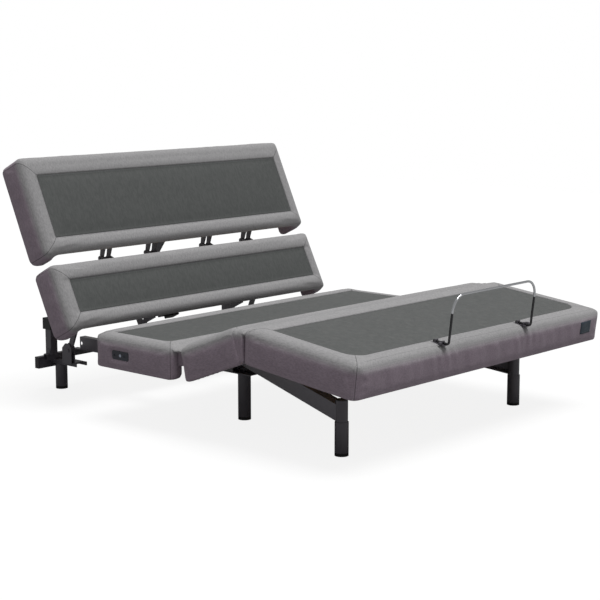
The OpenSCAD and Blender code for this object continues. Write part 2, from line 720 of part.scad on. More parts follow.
back_bars = [[35, 65], [150, 180], [235, 265]];
module back_frame() color("#17181b") back_at() {
    for (u = back_bars)
        tube_x(-560, 560, u, [-board_low - tube, -board_low], tube_wall);
    // Arms down to the pivot shaft
    for (s = [-1, 1]) difference() {
        union() {
            rod_x(s * arm_x - 5, s * arm_x + 5, -pivot_setback, -pivot_drop, 20);
            side_plate(s * arm_x - 5, s * arm_x + 5)
                polygon([[-pivot_setback, -pivot_drop - 20], [45, -pivot_drop - 20], [78, -pivot_drop + 12],
                    [78, -board_low - tube], [65, -board_low - tube], [65, -board_low], [35, -board_low],
                    [35, -board_low - tube], [10, -board_low - tube], [10, -pivot_drop + 30],
                    [0, -pivot_drop + 20], [-pivot_setback, -pivot_drop + 20]]);
        }
        rod_x(s * arm_x - 9, s * arm_x + 9, -pivot_setback, -pivot_drop, shaft_r + run);
        rod_x(s * arm_x - 9, s * arm_x + 9, 40, -pivot_drop + 18, 13);
        box([s * arm_x - 9, s * arm_x + 9], [back_bars[0][0], back_bars[0][1]],
            [-board_low - tube, -board_low + 1]);
    }
    // Lugs for the struts
    for (s = [-1, 1], x = [strut_x - ear_gap - ear, strut_x + ear_gap])
        translate([s > 0 ? 0 : -2 * x - ear, 0, 0]) difference() {
            union() {
                rod_x(x, x + ear, lug_u, lug_w, 17);
                box([x, x + ear], [lug_u - 17, lug_u + 10], [lug_w, -board_low - tube]);
            }
            rod_x(x - 1, x + ear + 1, lug_u, lug_w, pin_r + run);
        }
    for (s = [-1, 1]) rod_x(s * strut_x - ear_gap - ear - 3, s * strut_x + ear_gap + ear + 3,
        lug_u, lug_w, pin_r);
    // Ears of the pillow hinge
    for (x = pillow_hinge_x) hinge_ears(x, pillow_hinge_u, pillow_hinge_drop, 215, back_length - 12, false);
}

// Two ears and a pin, or one pair of bored ears inside them, from a board to a hinge axis
module hinge_ears(x, axis_u, axis_drop, from, to, inner) {
    spread = inner ? 18 : 24;
    for (s = [-1, 1]) difference() {
        union() {
            rod_x(x + s * spread - 2.5, x + s * spread + 2.5, axis_u, -axis_drop, 11);
            side_plate(x + s * spread - 2.5, x + s * spread + 2.5)
                polygon([[from, -board_low], [to, -board_low],
                    [axis_u + (axis_u > to ? 8 : -8), -axis_drop + 8],
                    [axis_u, -axis_drop - 11], [axis_u + (axis_u > to ? -11 : 11), -axis_drop - 2]]);
        }
        rod_x(x + s * spread - 5, x + s * spread + 5, axis_u, -axis_drop, 5 + run);
    }
    if (!inner) rod_x(x - 29, x + 29, axis_u, -axis_drop, 5);
}

module back_board() back_at() deck_board(back_length);
module back_rails() back_at() deck_rails(back_length, false);
module back_cover() back_at() deck_cover(back_length, false);

massage_x = 360;
module massage_motor() {
    cylinder(h = 30, r = 34);
    translate([0, 0, 30 - 4]) cylinder(h = 4, r = 40);
}
module back_massage_motors() color("#1a1a1c") back_at() both_sides()
    translate([massage_x, 107, -board_low - 30]) massage_motor();

module tilt_motor() color("#2b2d31") back_at() {
    difference() {
        rod_y(60, tilt_u - 42, tilt_x, -tilt_w, 17);
        rod_y(70, tilt_u - 41, tilt_x, -tilt_w, 7 + run);
    }
    box([tilt_x - 24, tilt_x + 24], [20, 60], [-tilt_w - 22, -tilt_w + 22]);
    box([tilt_x - 8, tilt_x + 8], [42, 58], [-tilt_w + 22, -board_low - tube]);
    rod_y(62, 150, tilt_x - 42, -tilt_w + 2, 20);
    box([tilt_x - 62, tilt_x - 20], [30, 62], [-tilt_w - 18, -tilt_w + 20]);
}

// ---- Carriage that rolls in the channels ----

module carriage_frame() color("#1b1c1f") bed() translate([0, pivot_y, pivot_z]) {
    tube_x(-carriage_x + 6, carriage_x - 6, [-carriage_nose, -carriage_nose + tube],
        [-tube / 2, tube / 2], tube_wall);
    for (s = [-1, 1]) difference() {
        box([s * (carriage_x - 3) - 3, s * (carriage_x - 3) + 3],
            [-carriage_nose, roller_y[1] + 22], [-tube / 2, tube / 2]);
        rod_x(s * carriage_x - 9, s * carriage_x + 9, 0, 0, shaft_r + run / 2);
        for (y = roller_y) rod_x(s * carriage_x - 9, s * carriage_x + 9, y, 0, axle_r + run / 2);
    }
    for (s = [-1, 1]) difference() {
        side_plate(s * 16 - 3, s * 16 + 3) union() {
            translate([-motor_pin, -14]) square([motor_pin - carriage_nose, 28]);
            translate([-motor_pin, 0]) circle(r = 14);
        }
        rod_x(s * 16 - 5, s * 16 + 5, -motor_pin, 0, 6 + run / 2);
    }
    rod_x(-22, 22, -motor_pin, 0, 6);
}

module carriage_axles() color("#8a8d92") bed() translate([0, pivot_y, pivot_z]) {
    rod_x(-carriage_x, carriage_x, 0, 0, shaft_r);
    both_sides() for (y = roller_y) {
        rod_x(carriage_x - 10, channel_x - channel_wall - 1, y, 0, axle_r);
        difference() {
            rod_x(carriage_x, channel_x - channel_wall - 3.5 - roller_width, y, 0, 9);
            rod_x(carriage_x - 1, channel_x, y, 0, axle_r);
        }
    }
}

module head_motor_rod() color("#c9ccd1") bed() translate([0, pivot_y, pivot_z]) difference() {
    union() {
        rod_y(motor_bore_y + 10 - pivot_flat_y, -motor_pin - 12, 0, 0, motor_rod_r);
        rod_y(-motor_pin - 30, -motor_pin, 0, 0, 12);
        rod_x(-12, 12, -motor_pin, 0, 12);
    }
    rod_x(-20, 20, -motor_pin, 0, 6 + run);
}

module roller_pair(y) color("#d8d8d4") bed() translate([0, pivot_y + y, pivot_z]) both_sides()
    difference() {
        rod_x(channel_x - channel_wall - 3 - roller_width, channel_x - channel_wall - 3, 0, 0, roller_r);
        rod_x(channel_x - 50, channel_x, 0, 0, axle_r + run);
    }
module front_rollers() roller_pair(roller_y[0]);
module rear_rollers() roller_pair(roller_y[1]);

// ---- Pillow ----

module pillow_board() pillow_at() deck_board(pillow_length);
module pillow_rails() pillow_at() deck_rails(pillow_length, true);
module pillow_cover() pillow_at() deck_cover(pillow_length, true);

module pillow_brackets() color("#17181b") pillow_at() {
    for (x = pillow_hinge_x) hinge_ears(x, -pillow_gap / 2, pillow_hinge_drop, 65, 12, true);
    // Horn that the tilt motor pushes
    back_u = tilt_u - pillow_hinge_u - pillow_gap / 2;
    difference() {
        union() {
            rod_x(tilt_x - 4, tilt_x + 4, back_u, -tilt_w, 14);
            side_plate(tilt_x - 4, tilt_x + 4)
                polygon([[12, -board_low], [70, -board_low], [back_u + 12, -tilt_w - 7],
                    [back_u - 9, -tilt_w - 10], [back_u - 13, -tilt_w + 4]]);
        }
        rod_x(tilt_x - 9, tilt_x + 9, back_u, -tilt_w, 7);
    }
}

module tilt_motor_rod() color("#c9ccd1") back_at() {
    rod_y(100, tilt_pin_u - 24, tilt_x, -tilt_w, 7);
    box([tilt_x - 11, tilt_x + 11], [tilt_pin_u - 28, tilt_pin_u - 20], [-tilt_w - 9, -tilt_w + 9]);
    for (s = [-1, 1]) box([tilt_x + s * 8 - 3, tilt_x + s * 8 + 3], [tilt_pin_u - 20, tilt_pin_u + 8],
        [-tilt_w - 9, -tilt_w + 9]);
    rod_x(tilt_x - 9, tilt_x + 9, tilt_pin_u, -tilt_w, 5);
}

// ---- Thigh ----

module thigh_board() thigh_at() turned() deck_board(thigh_length);
module thigh_rails() thigh_at() turned() deck_rails(thigh_length, false);
module thigh_cover() thigh_at() turned() deck_cover(thigh_length, false);

module thigh_brackets() color("#17181b") thigh_at() turned() {
    // Tracks for the lift rollers
    for (s = [-1, 1])
        box([s * lift_x - 20, s * lift_x + 20], [60, 230], [-board_low - track, -board_low]);
    // Leaves of the seat hinge
    for (x = thigh_hinge_x, s = [-1, 1]) difference() {
        leaf = [min(x + s * 11, x + s * 30), max(x + s * 11, x + s * 30)];
        union() {
            box(leaf, [0, 55], [-board_low - plate, -board_low]);
            box(leaf, [-thigh_clear, 0], [-board_low - plate, -thigh_drop]);
            rod_x(leaf[0], leaf[1], -thigh_clear, -thigh_drop, knuckle_r);
        }
        rod_x(x - 40, x + 40, -thigh_clear, -thigh_drop, 2.5 + run);
    }
    for (x = knee_hinge_x)
        hinge_ears(x, thigh_length + knee_gap / 2, knee_drop, thigh_length - 90, thigh_length - 12, false);
}

// ---- Leg ----

module leg_board() leg_at() turned() deck_board(leg_length);
module leg_rails() leg_at() turned() deck_rails(leg_length, true);
module leg_cover() leg_at() turned() deck_cover(leg_length, true);

module leg_brackets() color("#17181b") leg_at() turned() {
    for (x = knee_hinge_x) hinge_ears(x, -knee_gap / 2, knee_drop, 90, 12, true);
    // Horns for the knee links
    for (s = [-1, 1]) {
        difference() {
            union() {
                rod_x(s * (link_x + 9) - 3, s * (link_x + 9) + 3, horn_s, -horn_drop, 13);
                side_plate(s * (link_x + 9) - 3, s * (link_x + 9) + 3)
                    polygon([[8, -board_low], [75, -board_low], [horn_s + 13, -horn_drop],
                        [horn_s - 2, -horn_drop]]);
            }
            rod_x(s * (link_x + 9) - 5, s * (link_x + 9) + 5, horn_s, -horn_drop, 5 + run / 2);
        }
        rod_x(s * (link_x + 3.5) - 9, s * (link_x + 3.5) + 9, horn_s, -horn_drop, 5);
    }
}

module leg_massage_motors() color("#1a1a1c") leg_at() turned() both_sides()
    translate([massage_x, 250, -board_low - 30]) massage_motor();

// ---- Mattress retainer ----

foot_bend = 9;
module retainer_bar() color("#c9ccd1") leg_at() turned()
    translate([retainer_shift, leg_length + retainer_reach, retainer_lift]) both_sides() {
        half = retainer_width / 2;
        rod_x(0, half - retainer_corner, 0, retainer_height, retainer_r);
        translate([half - retainer_corner, 0, retainer_height - retainer_corner]) rotate([90, 0, 0])
            rotate_extrude(angle = 90) translate([retainer_corner, 0]) circle(r = retainer_r);
        translate([half, 0, foot_bend])
            cylinder(h = retainer_height - retainer_corner - foot_bend, r = retainer_r);
        translate([half, -foot_bend, foot_bend]) rotate([0, 90, 0])
            rotate_extrude(angle = 90) translate([foot_bend, 0]) circle(r = retainer_r);
        rod_y(-foot_bend - retainer_foot, -foot_bend, half, 0, retainer_r);
    }

// A clamp under each foot: one with a knob outside it, one with a plate that reaches inside
module retainer_brackets() color("#2a2b2e") leg_at() turned() translate([retainer_shift, 0, 0]) {
    half = retainer_width / 2;
    s = leg_length + retainer_reach - foot_bend;
    both_sides() difference() {
        union() {
            box([half - 12, half + 12], [s - retainer_foot - 5, s], [0, 2]);
            for (d = [14, 44])
                box([half - 8, half + 8], [s - d - 6, s - d], [0, 2 + 2 * retainer_r + 3]);
        }
        rod_y(s - retainer_foot - 11, s + foot_bend, half, retainer_lift, retainer_r + run / 2);
    }
    for (x = [-half - 23, half + 14]) rod_x(x, x + 9, s - 17, retainer_lift, 6);
    for (x = [-half - 14, half + 8]) rod_x(x, x + 6, s - 17, retainer_lift, 3);
}

// ---- Foot lift ----

module lift_tube() color("#1b1c1f") bed() {
    rod_x(-339, 339, lift_y, lift_z, lift_tube_r);
    rod_x(-348, 348, lift_y, lift_z, 8);
    for (s = [-1, 1]) translate([0, lift_y, lift_z]) rotate([-lift_angle, 0, 0]) difference() {
        side_plate(s * lift_x - 4, s * lift_x + 4) mirror([1, 0]) union() {
            link_shape(lift_arm, 13, 24);
            circle(r = 22);
        }
        rod_x(s * lift_x - 9, s * lift_x + 9, -lift_arm, 0, 5 + run / 2);
        rod_x(s * lift_x - 9, s * lift_x + 9, 0, 0, lift_tube_r - 1);
    }
    for (s = [-1, 1]) translate([0, lift_y, lift_z]) rotate([-lift_angle, 0, 0])
        rod_x(s * (lift_x - 17) - 22, s * (lift_x - 17) + 22, -lift_arm, 0, 5);
    translate([0, lift_y, lift_z]) rotate([-lever_angle, 0, 0]) difference() {
        side_plate(lever_x - 5, lever_x + 5) rotate(-90) link_shape(lever_length, 14, 24);
        rod_x(lever_x - 9, lever_x + 9, 0, -lever_length, 7.5);
        rod_x(lever_x - 9, lever_x + 9, 0, 0, lift_tube_r - 1);
    }
}

module lift_rollers() color("#d8d8d4") bed() for (s = [-1, 1])
    translate([0, lift_y, lift_z]) rotate([-lift_angle, 0, 0]) difference() {
        rod_x(s * (lift_x - 18) - 12, s * (lift_x - 18) + 12, -lift_arm, 0, lift_roller_r);
        rod_x(s * (lift_x - 18) - 20, s * (lift_x - 18) + 20, -lift_arm, 0, 5 + run);
    }

foot_eye_y = lift_y - lever_length * sin(lever_angle);
module foot_motor_rod() color("#c9ccd1") bed() {
    rod_y(foot_eye_y + 24, 120, lever_x, foot_rod_z, motor_rod_r - 1);
    box([lever_x - 13, lever_x + 13], [foot_eye_y + 18, foot_eye_y + 26], [foot_rod_z - 9, foot_rod_z + 9]);
    for (s = [-1, 1]) box([lever_x + s * 10 - 3, lever_x + s * 10 + 3],
        [foot_eye_y - 8, foot_eye_y + 18], [foot_rod_z - 9, foot_rod_z + 9]);
    rod_x(lever_x - 11, lever_x + 11, foot_eye_y, foot_rod_z, 5);
}

module knee_links() color("#17181b") bed() for (s = [-1, 1]) {
    translate([0, link_y, link_z]) rotate([-link_angle, 0, 0]) difference() {
        side_plate(s * link_x - 4, s * link_x + 4) mirror([1, 0]) link_shape(link_length, 12, 20);
        rod_x(s * link_x - 9, s * link_x + 9, -link_length, 0, 6.4);
    }
    rod_x(s * (link_x - 4.5) - 7.5, s * (link_x - 4.5) + 7.5, link_y, link_z, 5);
}

lower_legs();
leg_glides();
leg_posts();
mid_leg_plates();
foot_rails();
side_rails();
mid_beam();
roller_channels();
head_cross_tube();
leg_saddles();
headboard_sockets();
end_caps();
pillow_posts();
post_bumpers();
strut_brackets();
seat_crossbars();
seat_board();
seat_rails();
seat_cover();
thigh_hinge_leaves();
head_motor();
foot_motor();
motor_mounts();
control_box();
mains_inlet();
port_plate();
port_button();
frame_bolts();
lift_struts();
back_frame();
back_board();
back_rails();
back_cover();
back_massage_motors();
tilt_motor();
carriage_frame();
carriage_axles();
head_motor_rod();
front_rollers();
rear_rollers();
pillow_board();
pillow_rails();
pillow_cover();
pillow_brackets();
tilt_motor_rod();
thigh_board();
thigh_rails();
thigh_cover();
thigh_brackets();
leg_board();
leg_rails();
leg_cover();
leg_brackets();
leg_massage_motors();
retainer_bar();
retainer_brackets();
lift_tube();
lift_rollers();
foot_motor_rod();
knee_links();
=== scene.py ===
# %% [markdown]
# # An upholstered adjustable bed base
# The steel frame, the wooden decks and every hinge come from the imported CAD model, which stays fixed.
# This lesson adds what CAD leaves plain: padded covers sewn from two cloths, the stretch cloth that
# bridges the hinges, stitches and staples, and the finish of every metal, wood and plastic piece.

# %% Load the frame
from math import cos, pi, radians, sin

import bmesh
import bpy
import numpy as np
from mathutils import Euler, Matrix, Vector
from mathutils.bvhtree import BVHTree


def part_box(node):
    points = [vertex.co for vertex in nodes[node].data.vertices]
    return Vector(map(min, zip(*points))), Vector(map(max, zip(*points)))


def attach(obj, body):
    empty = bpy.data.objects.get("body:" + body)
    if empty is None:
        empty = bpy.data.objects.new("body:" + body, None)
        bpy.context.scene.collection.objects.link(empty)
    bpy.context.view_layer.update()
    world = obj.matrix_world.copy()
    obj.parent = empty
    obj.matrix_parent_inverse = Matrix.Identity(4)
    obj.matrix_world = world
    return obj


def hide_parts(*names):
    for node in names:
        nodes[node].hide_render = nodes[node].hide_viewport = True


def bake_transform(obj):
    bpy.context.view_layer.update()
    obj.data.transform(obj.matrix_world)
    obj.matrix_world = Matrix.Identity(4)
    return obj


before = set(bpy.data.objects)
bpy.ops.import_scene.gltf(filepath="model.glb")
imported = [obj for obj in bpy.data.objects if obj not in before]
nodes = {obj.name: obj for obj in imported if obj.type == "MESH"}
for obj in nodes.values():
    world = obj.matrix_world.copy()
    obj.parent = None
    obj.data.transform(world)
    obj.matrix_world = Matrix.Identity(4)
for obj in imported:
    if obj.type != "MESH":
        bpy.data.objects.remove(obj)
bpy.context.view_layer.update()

# %% [markdown]
# ## Camera
# The base is seen from its foot corner, a little above the deck, through a long lens, so that lines
# along the bed stay almost parallel. A long lens needs distance: the camera stands six metres away.

# %% The camera
scene = bpy.context.scene
camera_data = bpy.data.cameras.new("camera")
camera_data.lens = 91.77
camera_data.sensor_width = 36
camera_data.clip_end = 60
camera = bpy.data.objects.new("camera", camera_data)
camera.location = (-4.5797, -4.11967, 1.4181)
camera.rotation_euler = Euler((radians(90 - 9.18), 0, radians(-48.03)))
scene.collection.objects.link(camera)
scene.camera = camera
print("camera at", tuple(round(v, 2) for v in camera.location))

# %% [markdown]
# ## Helpers for shader nodes
# Small functions keep the node code readable: one adds a node and fills its sockets by name, one adds
# a Math node, and one starts a node group. Effects that several finishes share become groups.

# %% Node helpers
def add_node(tree, kind, **inputs):
    """Adds a node and sets or links its inputs by name; a socket is linked and a value is set."""
    made = tree.nodes.new(kind)
    for name, value in inputs.items():
        put(tree, made.inputs[name.replace("_", " ")], value)
    return made


def put(tree, socket, value):
    if isinstance(value, bpy.types.NodeSocket):
        tree.links.new(value, socket)
    elif isinstance(value, tuple) and len(value) == 3 and socket.type == "RGBA":
        socket.default_value = (*value, 1)
    else:
        socket.default_value = value


def math_node(tree, operation, a, b=0.0):
    made = tree.nodes.new("ShaderNodeMath")
    made.operation = operation
    put(tree, made.inputs[0], a)
    put(tree, made.inputs[1], b)
    return made.outputs[0]


def fade(tree, value, low, high, at_low=0.0, at_high=1.0):
    """A smooth step of value from low to high."""
    made = tree.nodes.new("ShaderNodeMapRange")
    made.interpolation_type = "SMOOTHSTEP"
    for socket, v in zip(made.inputs[:5], (value, low, high, at_low, at_high)):
        put(tree, socket, v)
    return made.outputs[0]


def blend_colours(tree, factor, a, b):
    made = tree.nodes.new("ShaderNodeMix")
    made.data_type = "RGBA"
    # Sockets 6, 7 and 2 are the colour ones of a Mix node
    put(tree, made.inputs[0], factor)
    put(tree, made.inputs[6], a)
    put(tree, made.inputs[7], b)
    return made.outputs[2]


def noise(tree, vector, scale, detail=2.0, roughness=0.5):
    made = add_node(tree, "ShaderNodeTexNoise", Vector=vector, Scale=scale)
    made.inputs["Detail"].default_value = detail
    made.inputs["Roughness"].default_value = roughness
    return made.outputs["Fac"]


def bump(tree, height, strength, distance):
    return add_node(tree, "ShaderNodeBump", Height=height, Strength=strength, Distance=distance).outputs[0]


def start_group(name, inputs, outputs):
    """A shader group with named sockets; inputs are (name, type, default) and outputs (name, type)."""
    tree = bpy.data.node_groups.new(name, "ShaderNodeTree")
    for label, kind, value in inputs:
        socket = tree.interface.new_socket(label, in_out="INPUT", socket_type=kind)
        if value is not None:
            socket.default_value = value
    for label, kind in outputs:
        tree.interface.new_socket(label, in_out="OUTPUT", socket_type=kind)
    return tree, tree.nodes.new("NodeGroupInput"), tree.nodes.new("NodeGroupOutput")


def use_group(tree, group, **inputs):
    made = tree.nodes.new("ShaderNodeGroup")
    made.node_tree = group
    for name, value in inputs.items():
        put(tree, made.inputs[name.replace("_", " ")], value)
    return made


def linear(*srgb):
    """Turns a colour written 0 to 255 into the linear values that shaders work with."""
    return tuple(((c / 255 + 0.055) / 1.055) ** 2.4 for c in srgb)


def new_material(name, **shader_values):
    made = bpy.data.materials.new(name)
    made.use_nodes = True
    shader = made.node_tree.nodes["Principled BSDF"]
    for label, value in shader_values.items():
        put(made.node_tree, shader.inputs[label.replace("_", " ")], value)
    return made, made.node_tree, shader


def object_place(tree):
    return tree.nodes.new("ShaderNodeTexCoord").outputs["Object"]


FLOAT, COLOUR, VECTOR = "NodeSocketFloat", "NodeSocketColor", "NodeSocketVector"

# %% [markdown]
# ## Shared effects
# Heathered cloth mixes light and dark yarns, so its colour wanders over a few millimetres while its
# weave is under one. Powder coat has a fine orange peel and rubs shiny along its edges. Dust is a
# faint veil on whatever faces up. Each is a group that gives a factor and a height.

# %% Heathered weave
YARN_WAVE = 0.159  # a Wave texture has 3.18 waves to a unit of scale, so one wave spans two yarns

weave_group, gi, go = start_group(
    "heathered weave",
    [("Place", VECTOR, None), ("Yarn", FLOAT, 0.0016), ("Fleck", FLOAT, 0.004)],
    [("Tone", FLOAT), ("Height", FLOAT)])
per_metre = math_node(weave_group, "DIVIDE", 1.0, gi.outputs["Yarn"])
yarns_of = {}
for direction in ("X", "Y"):
    yarn = add_node(weave_group, "ShaderNodeTexWave", Vector=gi.outputs["Place"], Distortion=1.5, Detail=1.0)
    yarn.bands_direction = direction
    put(weave_group, yarn.inputs["Scale"], math_node(weave_group, "MULTIPLY", per_metre, YARN_WAVE))
    yarns_of[direction] = yarn.outputs["Fac"]
threads = math_node(weave_group, "MAXIMUM", yarns_of["X"], yarns_of["Y"])
fleck_scale = math_node(weave_group, "DIVIDE", 1.0, gi.outputs["Fleck"])
stretched = add_node(weave_group, "ShaderNodeVectorMath", Vector=gi.outputs["Place"])
stretched.operation = "MULTIPLY"
stretched.inputs[1].default_value = (1.0, 0.35, 1.0)
flecks = noise(weave_group, stretched.outputs[0], fleck_scale, 3.0, 0.7)
patches = noise(weave_group, gi.outputs["Place"], 9.0, 3.0)
tone = math_node(weave_group, "MULTIPLY", fade(weave_group, flecks, 0.3, 0.7), 0.55)
tone = math_node(weave_group, "ADD", tone, math_node(weave_group, "MULTIPLY", threads, 0.25))
tone = math_node(weave_group, "ADD", tone, math_node(weave_group, "MULTIPLY", patches, 0.2))
weave_group.links.new(tone, go.inputs["Tone"])
weave_group.links.new(threads, go.inputs["Height"])

# %% Orange peel, worn edges and dust
peel_group, gi, go = start_group(
    "orange peel", [("Place", VECTOR, None), ("Size", FLOAT, 0.0015)], [("Height", FLOAT), ("Cloud", FLOAT)])
peel = noise(peel_group, gi.outputs["Place"], math_node(peel_group, "DIVIDE", 1.0, gi.outputs["Size"]), 2.0)
peel_group.links.new(peel, go.inputs["Height"])
peel_group.links.new(noise(peel_group, gi.outputs["Place"], 11.0, 4.0), go.inputs["Cloud"])

wear_group, gi, go = start_group(
    "worn edges",
    [("Place", VECTOR, None), ("Width", FLOAT, 0.002), ("Amount", FLOAT, 0.5)],
    [("Wear", FLOAT)])
soft_edge = wear_group.nodes.new("ShaderNodeBevel")
soft_edge.samples = 4
put(wear_group, soft_edge.inputs["Radius"], gi.outputs["Width"])
true_face = wear_group.nodes.new("ShaderNodeNewGeometry").outputs["Normal"]
turn = wear_group.nodes.new("ShaderNodeVectorMath")
turn.operation = "DOT_PRODUCT"
wear_group.links.new(soft_edge.outputs[0], turn.inputs[0])
wear_group.links.new(true_face, turn.inputs[1])
edge = fade(wear_group, turn.outputs["Value"], 0.99, 0.85)
rubbed = fade(wear_group, noise(wear_group, gi.outputs["Place"], 60.0, 4.0, 0.65), 0.45, 0.65)
wear = math_node(wear_group, "MULTIPLY", edge, rubbed)
wear_group.links.new(math_node(wear_group, "MULTIPLY", wear, gi.outputs["Amount"]), go.inputs["Wear"])

dust_group, gi, go = start_group("dust", [("Place", VECTOR, None), ("Amount", FLOAT, 0.2)], [("Dust", FLOAT)])
facing = dust_group.nodes.new("ShaderNodeSeparateXYZ")
dust_group.links.new(dust_group.nodes.new("ShaderNodeNewGeometry").outputs["Normal"], facing.inputs[0])
upward = fade(dust_group, facing.outputs["Z"], 0.2, 0.95)
specks = fade(dust_group, noise(dust_group, gi.outputs["Place"], 45.0, 5.0, 0.7), 0.35, 0.75)
settled = math_node(dust_group, "MULTIPLY", upward, specks)
dust_group.links.new(math_node(dust_group, "MULTIPLY", settled, gi.outputs["Amount"]), go.inputs["Dust"])
print("groups:", [g.name for g in bpy.data.node_groups])

# %% [markdown]
# ## Upholstery cloths
# Each cover is sewn from a grey heathered border and a darker, tighter cloth in the middle of the
# deck, which keeps a mattress from sliding. They could be two materials on two sets of faces, but the
# boundary would then follow the mesh. Instead every point carries how far it is inside the border,
# and the shader turns that into a crisp line, with the sewn seams and their dimples beside it.

# %% The cover cloth
SEAM = 0.0011  # half the width of a sewn line
MITRE_START = 0.02  # mitred seams begin this far inside a middle cloth's corner
SIDE_SHADE_FROM, SIDE_SHADE_FULL = -0.012, -0.045  # heights between which the border colour turns into its painted side shade
DIMPLE = 0.006  # how far from a seam the cloth dips


def line(tree, distance, half_width):
    """1 on a thin line where distance is zero."""
    return fade(tree, math_node(tree, "ABSOLUTE", distance), half_width, half_width * 2, 1.0, 0.0)


def cover_material():
    made, tree, shader = new_material("cover cloth", Roughness=0.9, Sheen_Weight=0.12, Sheen_Roughness=0.4)
    place = add_node(tree, "ShaderNodeAttribute")
    place.attribute_name = "deck_place"
    room = add_node(tree, "ShaderNodeAttribute")
    room.attribute_name = "border_room"
    hem = add_node(tree, "ShaderNodeAttribute")
    hem.attribute_name = "hem_seam"
    split = add_node(tree, "ShaderNodeSeparateXYZ", Vector=room.outputs["Vector"])
    side, head, foot = split.outputs
    middle_room = add_node(tree, "ShaderNodeAttribute")
    middle_room.attribute_name = "middle_room"
    nearest = middle_room.outputs["Fac"]
    inset = fade(tree, nearest, -0.0005, 0.0005)
    seams = line(tree, nearest, SEAM)
    for end in (head, foot):
        corner = math_node(tree, "SUBTRACT", side, end)
        in_border = math_node(tree, "LESS_THAN", nearest, 0.0)
        at_corner = math_node(tree, "LESS_THAN", math_node(tree, "MAXIMUM", side, end), MITRE_START)
        in_border = math_node(tree, "MULTIPLY", in_border, at_corner)
        mitre = math_node(tree, "MULTIPLY", line(tree, corner, SEAM), in_border)
        seams = math_node(tree, "MAXIMUM", seams, mitre)
    faint = math_node(tree, "MULTIPLY", line(tree, hem.outputs["Fac"], SEAM * 0.6), 0.4)
    seams = math_node(tree, "MAXIMUM", seams, faint)
    height = add_node(tree, "ShaderNodeSeparateXYZ", Vector=place.outputs["Vector"]).outputs["Z"]
    # Below the top, the border colour turns into a darker, purpler copy: painted shade on the side faces.
    upright = fade(tree, height, SIDE_SHADE_FROM, SIDE_SHADE_FULL)

    heather = use_group(tree, weave_group, Place=place.outputs["Vector"], Yarn=0.0017, Fleck=0.0045)
    tight = use_group(tree, weave_group, Place=place.outputs["Vector"], Yarn=0.0011, Fleck=0.009)
    light = blend_colours(tree, heather.outputs["Tone"], linear(126, 125, 126), linear(160, 159, 160))
    # The border's own cloth made darker and purpler: painted shade for the side faces.
    painted_side_shade = blend_colours(tree, heather.outputs["Tone"], linear(118, 106, 116), linear(149, 135, 146))
    border = blend_colours(tree, upright, light, painted_side_shade)
    middle = blend_colours(tree, tight.outputs["Tone"], linear(62, 65, 64), linear(81, 83, 82))
    cloth = blend_colours(tree, inset, border, middle)
    dusty = use_group(tree, dust_group, Place=place.outputs["Vector"], Amount=0.05)
    cloth = blend_colours(tree, dusty.outputs["Dust"], cloth, linear(190, 186, 180))
    cloth = blend_colours(tree, math_node(tree, "MULTIPLY", seams, 0.6), cloth, linear(38, 37, 39))
    put(tree, shader.inputs["Base Color"], cloth)
    put(tree, shader.inputs["Roughness"], fade(tree, nearest, -0.0005, 0.0005, 0.9, 0.62))
    dip = fade(tree, math_node(tree, "ABSOLUTE", nearest), 0.0, DIMPLE, 1.0, 0.0)
    dimple = math_node(tree, "SUBTRACT", 1.0, dip)
    dimple = math_node(tree, "SUBTRACT", dimple, math_node(tree, "MULTIPLY", seams, 0.6))
    yarns = bump(tree, heather.outputs["Height"], 0.35, 0.0004)
    relief = add_node(tree, "ShaderNodeBump", Height=dimple, Strength=0.5, Distance=0.002, Normal=yarns)
    put(tree, shader.inputs["Normal"], relief.outputs[0])
    return made


cover_cloth = cover_material()
print("material", cover_cloth.name, "with", len(cover_cloth.node_tree.nodes), "nodes")

# %% [markdown]
# ## Where a panel lies
# The panels are tilted, but their decks are flat boards. The largest face of a board gives its
# upward direction, and the bed's width gives the other, so every panel can be worked on as if it
# lay flat: x across the bed, y from the foot end of the panel to its head end, z down from its top.

# %% Panel places
def points_of(mesh):
    flat = np.empty(len(mesh.vertices) * 3, np.float64)
    mesh.vertices.foreach_get("co", flat)
    return flat.reshape(-1, 3)


def set_points(mesh, points):
    mesh.vertices.foreach_set("co", np.ascontiguousarray(points, np.float32).ravel())
    mesh.update()


class Panel:
    """One deck panel: its own axes, its corner in the row frame, its length and the borders on it."""

    def __init__(self, name, body, head_border, foot_border, side_border):
        board = nodes[name + "_board"].data
        up = max(board.polygons, key=lambda face: face.area).normal.copy()
        if up.z < 0:
            up.negate()
        across = Vector((1, 0, 0))
        self.axes = np.array([across, up.cross(across), up])
        cover = points_of(nodes[name + "_cover"].data) @ self.axes.T
        self.origin = np.array([0, cover[:, 1].min(), cover[:, 2].max()])
        self.length = float(np.ptp(cover[:, 1]))
        self.depth = float(np.ptp(cover[:, 2]))
        self.half = float(np.ptp(cover[:, 0])) / 2
        self.name, self.body = name, body
        self.head_border, self.foot_border, self.side_border = head_border, foot_border, side_border

    def to_local(self, points):
        return points @ self.axes.T - self.origin

    def to_row(self, points):
        return (points + self.origin) @ self.axes

    def room(self, points):
        """How far inside the border each point is: from the side, from the head and from the foot."""
        side = self.half - np.abs(points[:, 0]) - self.side_border
        head = self.length - points[:, 1] - self.head_border
        foot = points[:, 1] - self.foot_border
        return np.stack([side, head, foot], 1)

    def middle(self, points):
        """Distance inside the middle cloth's outline, whose foot corners are rounded on some panels."""
        side, head, foot = self.room(points).T
        nearest = np.minimum(np.minimum(side, foot), head)
        r = ROUNDED.get(self.name)
        if not r:
            return nearest
        corner = (side < r) & (foot < r)
        rounded = r - np.hypot(r - side, r - foot)
        return np.minimum(np.where(corner, rounded, nearest), head)


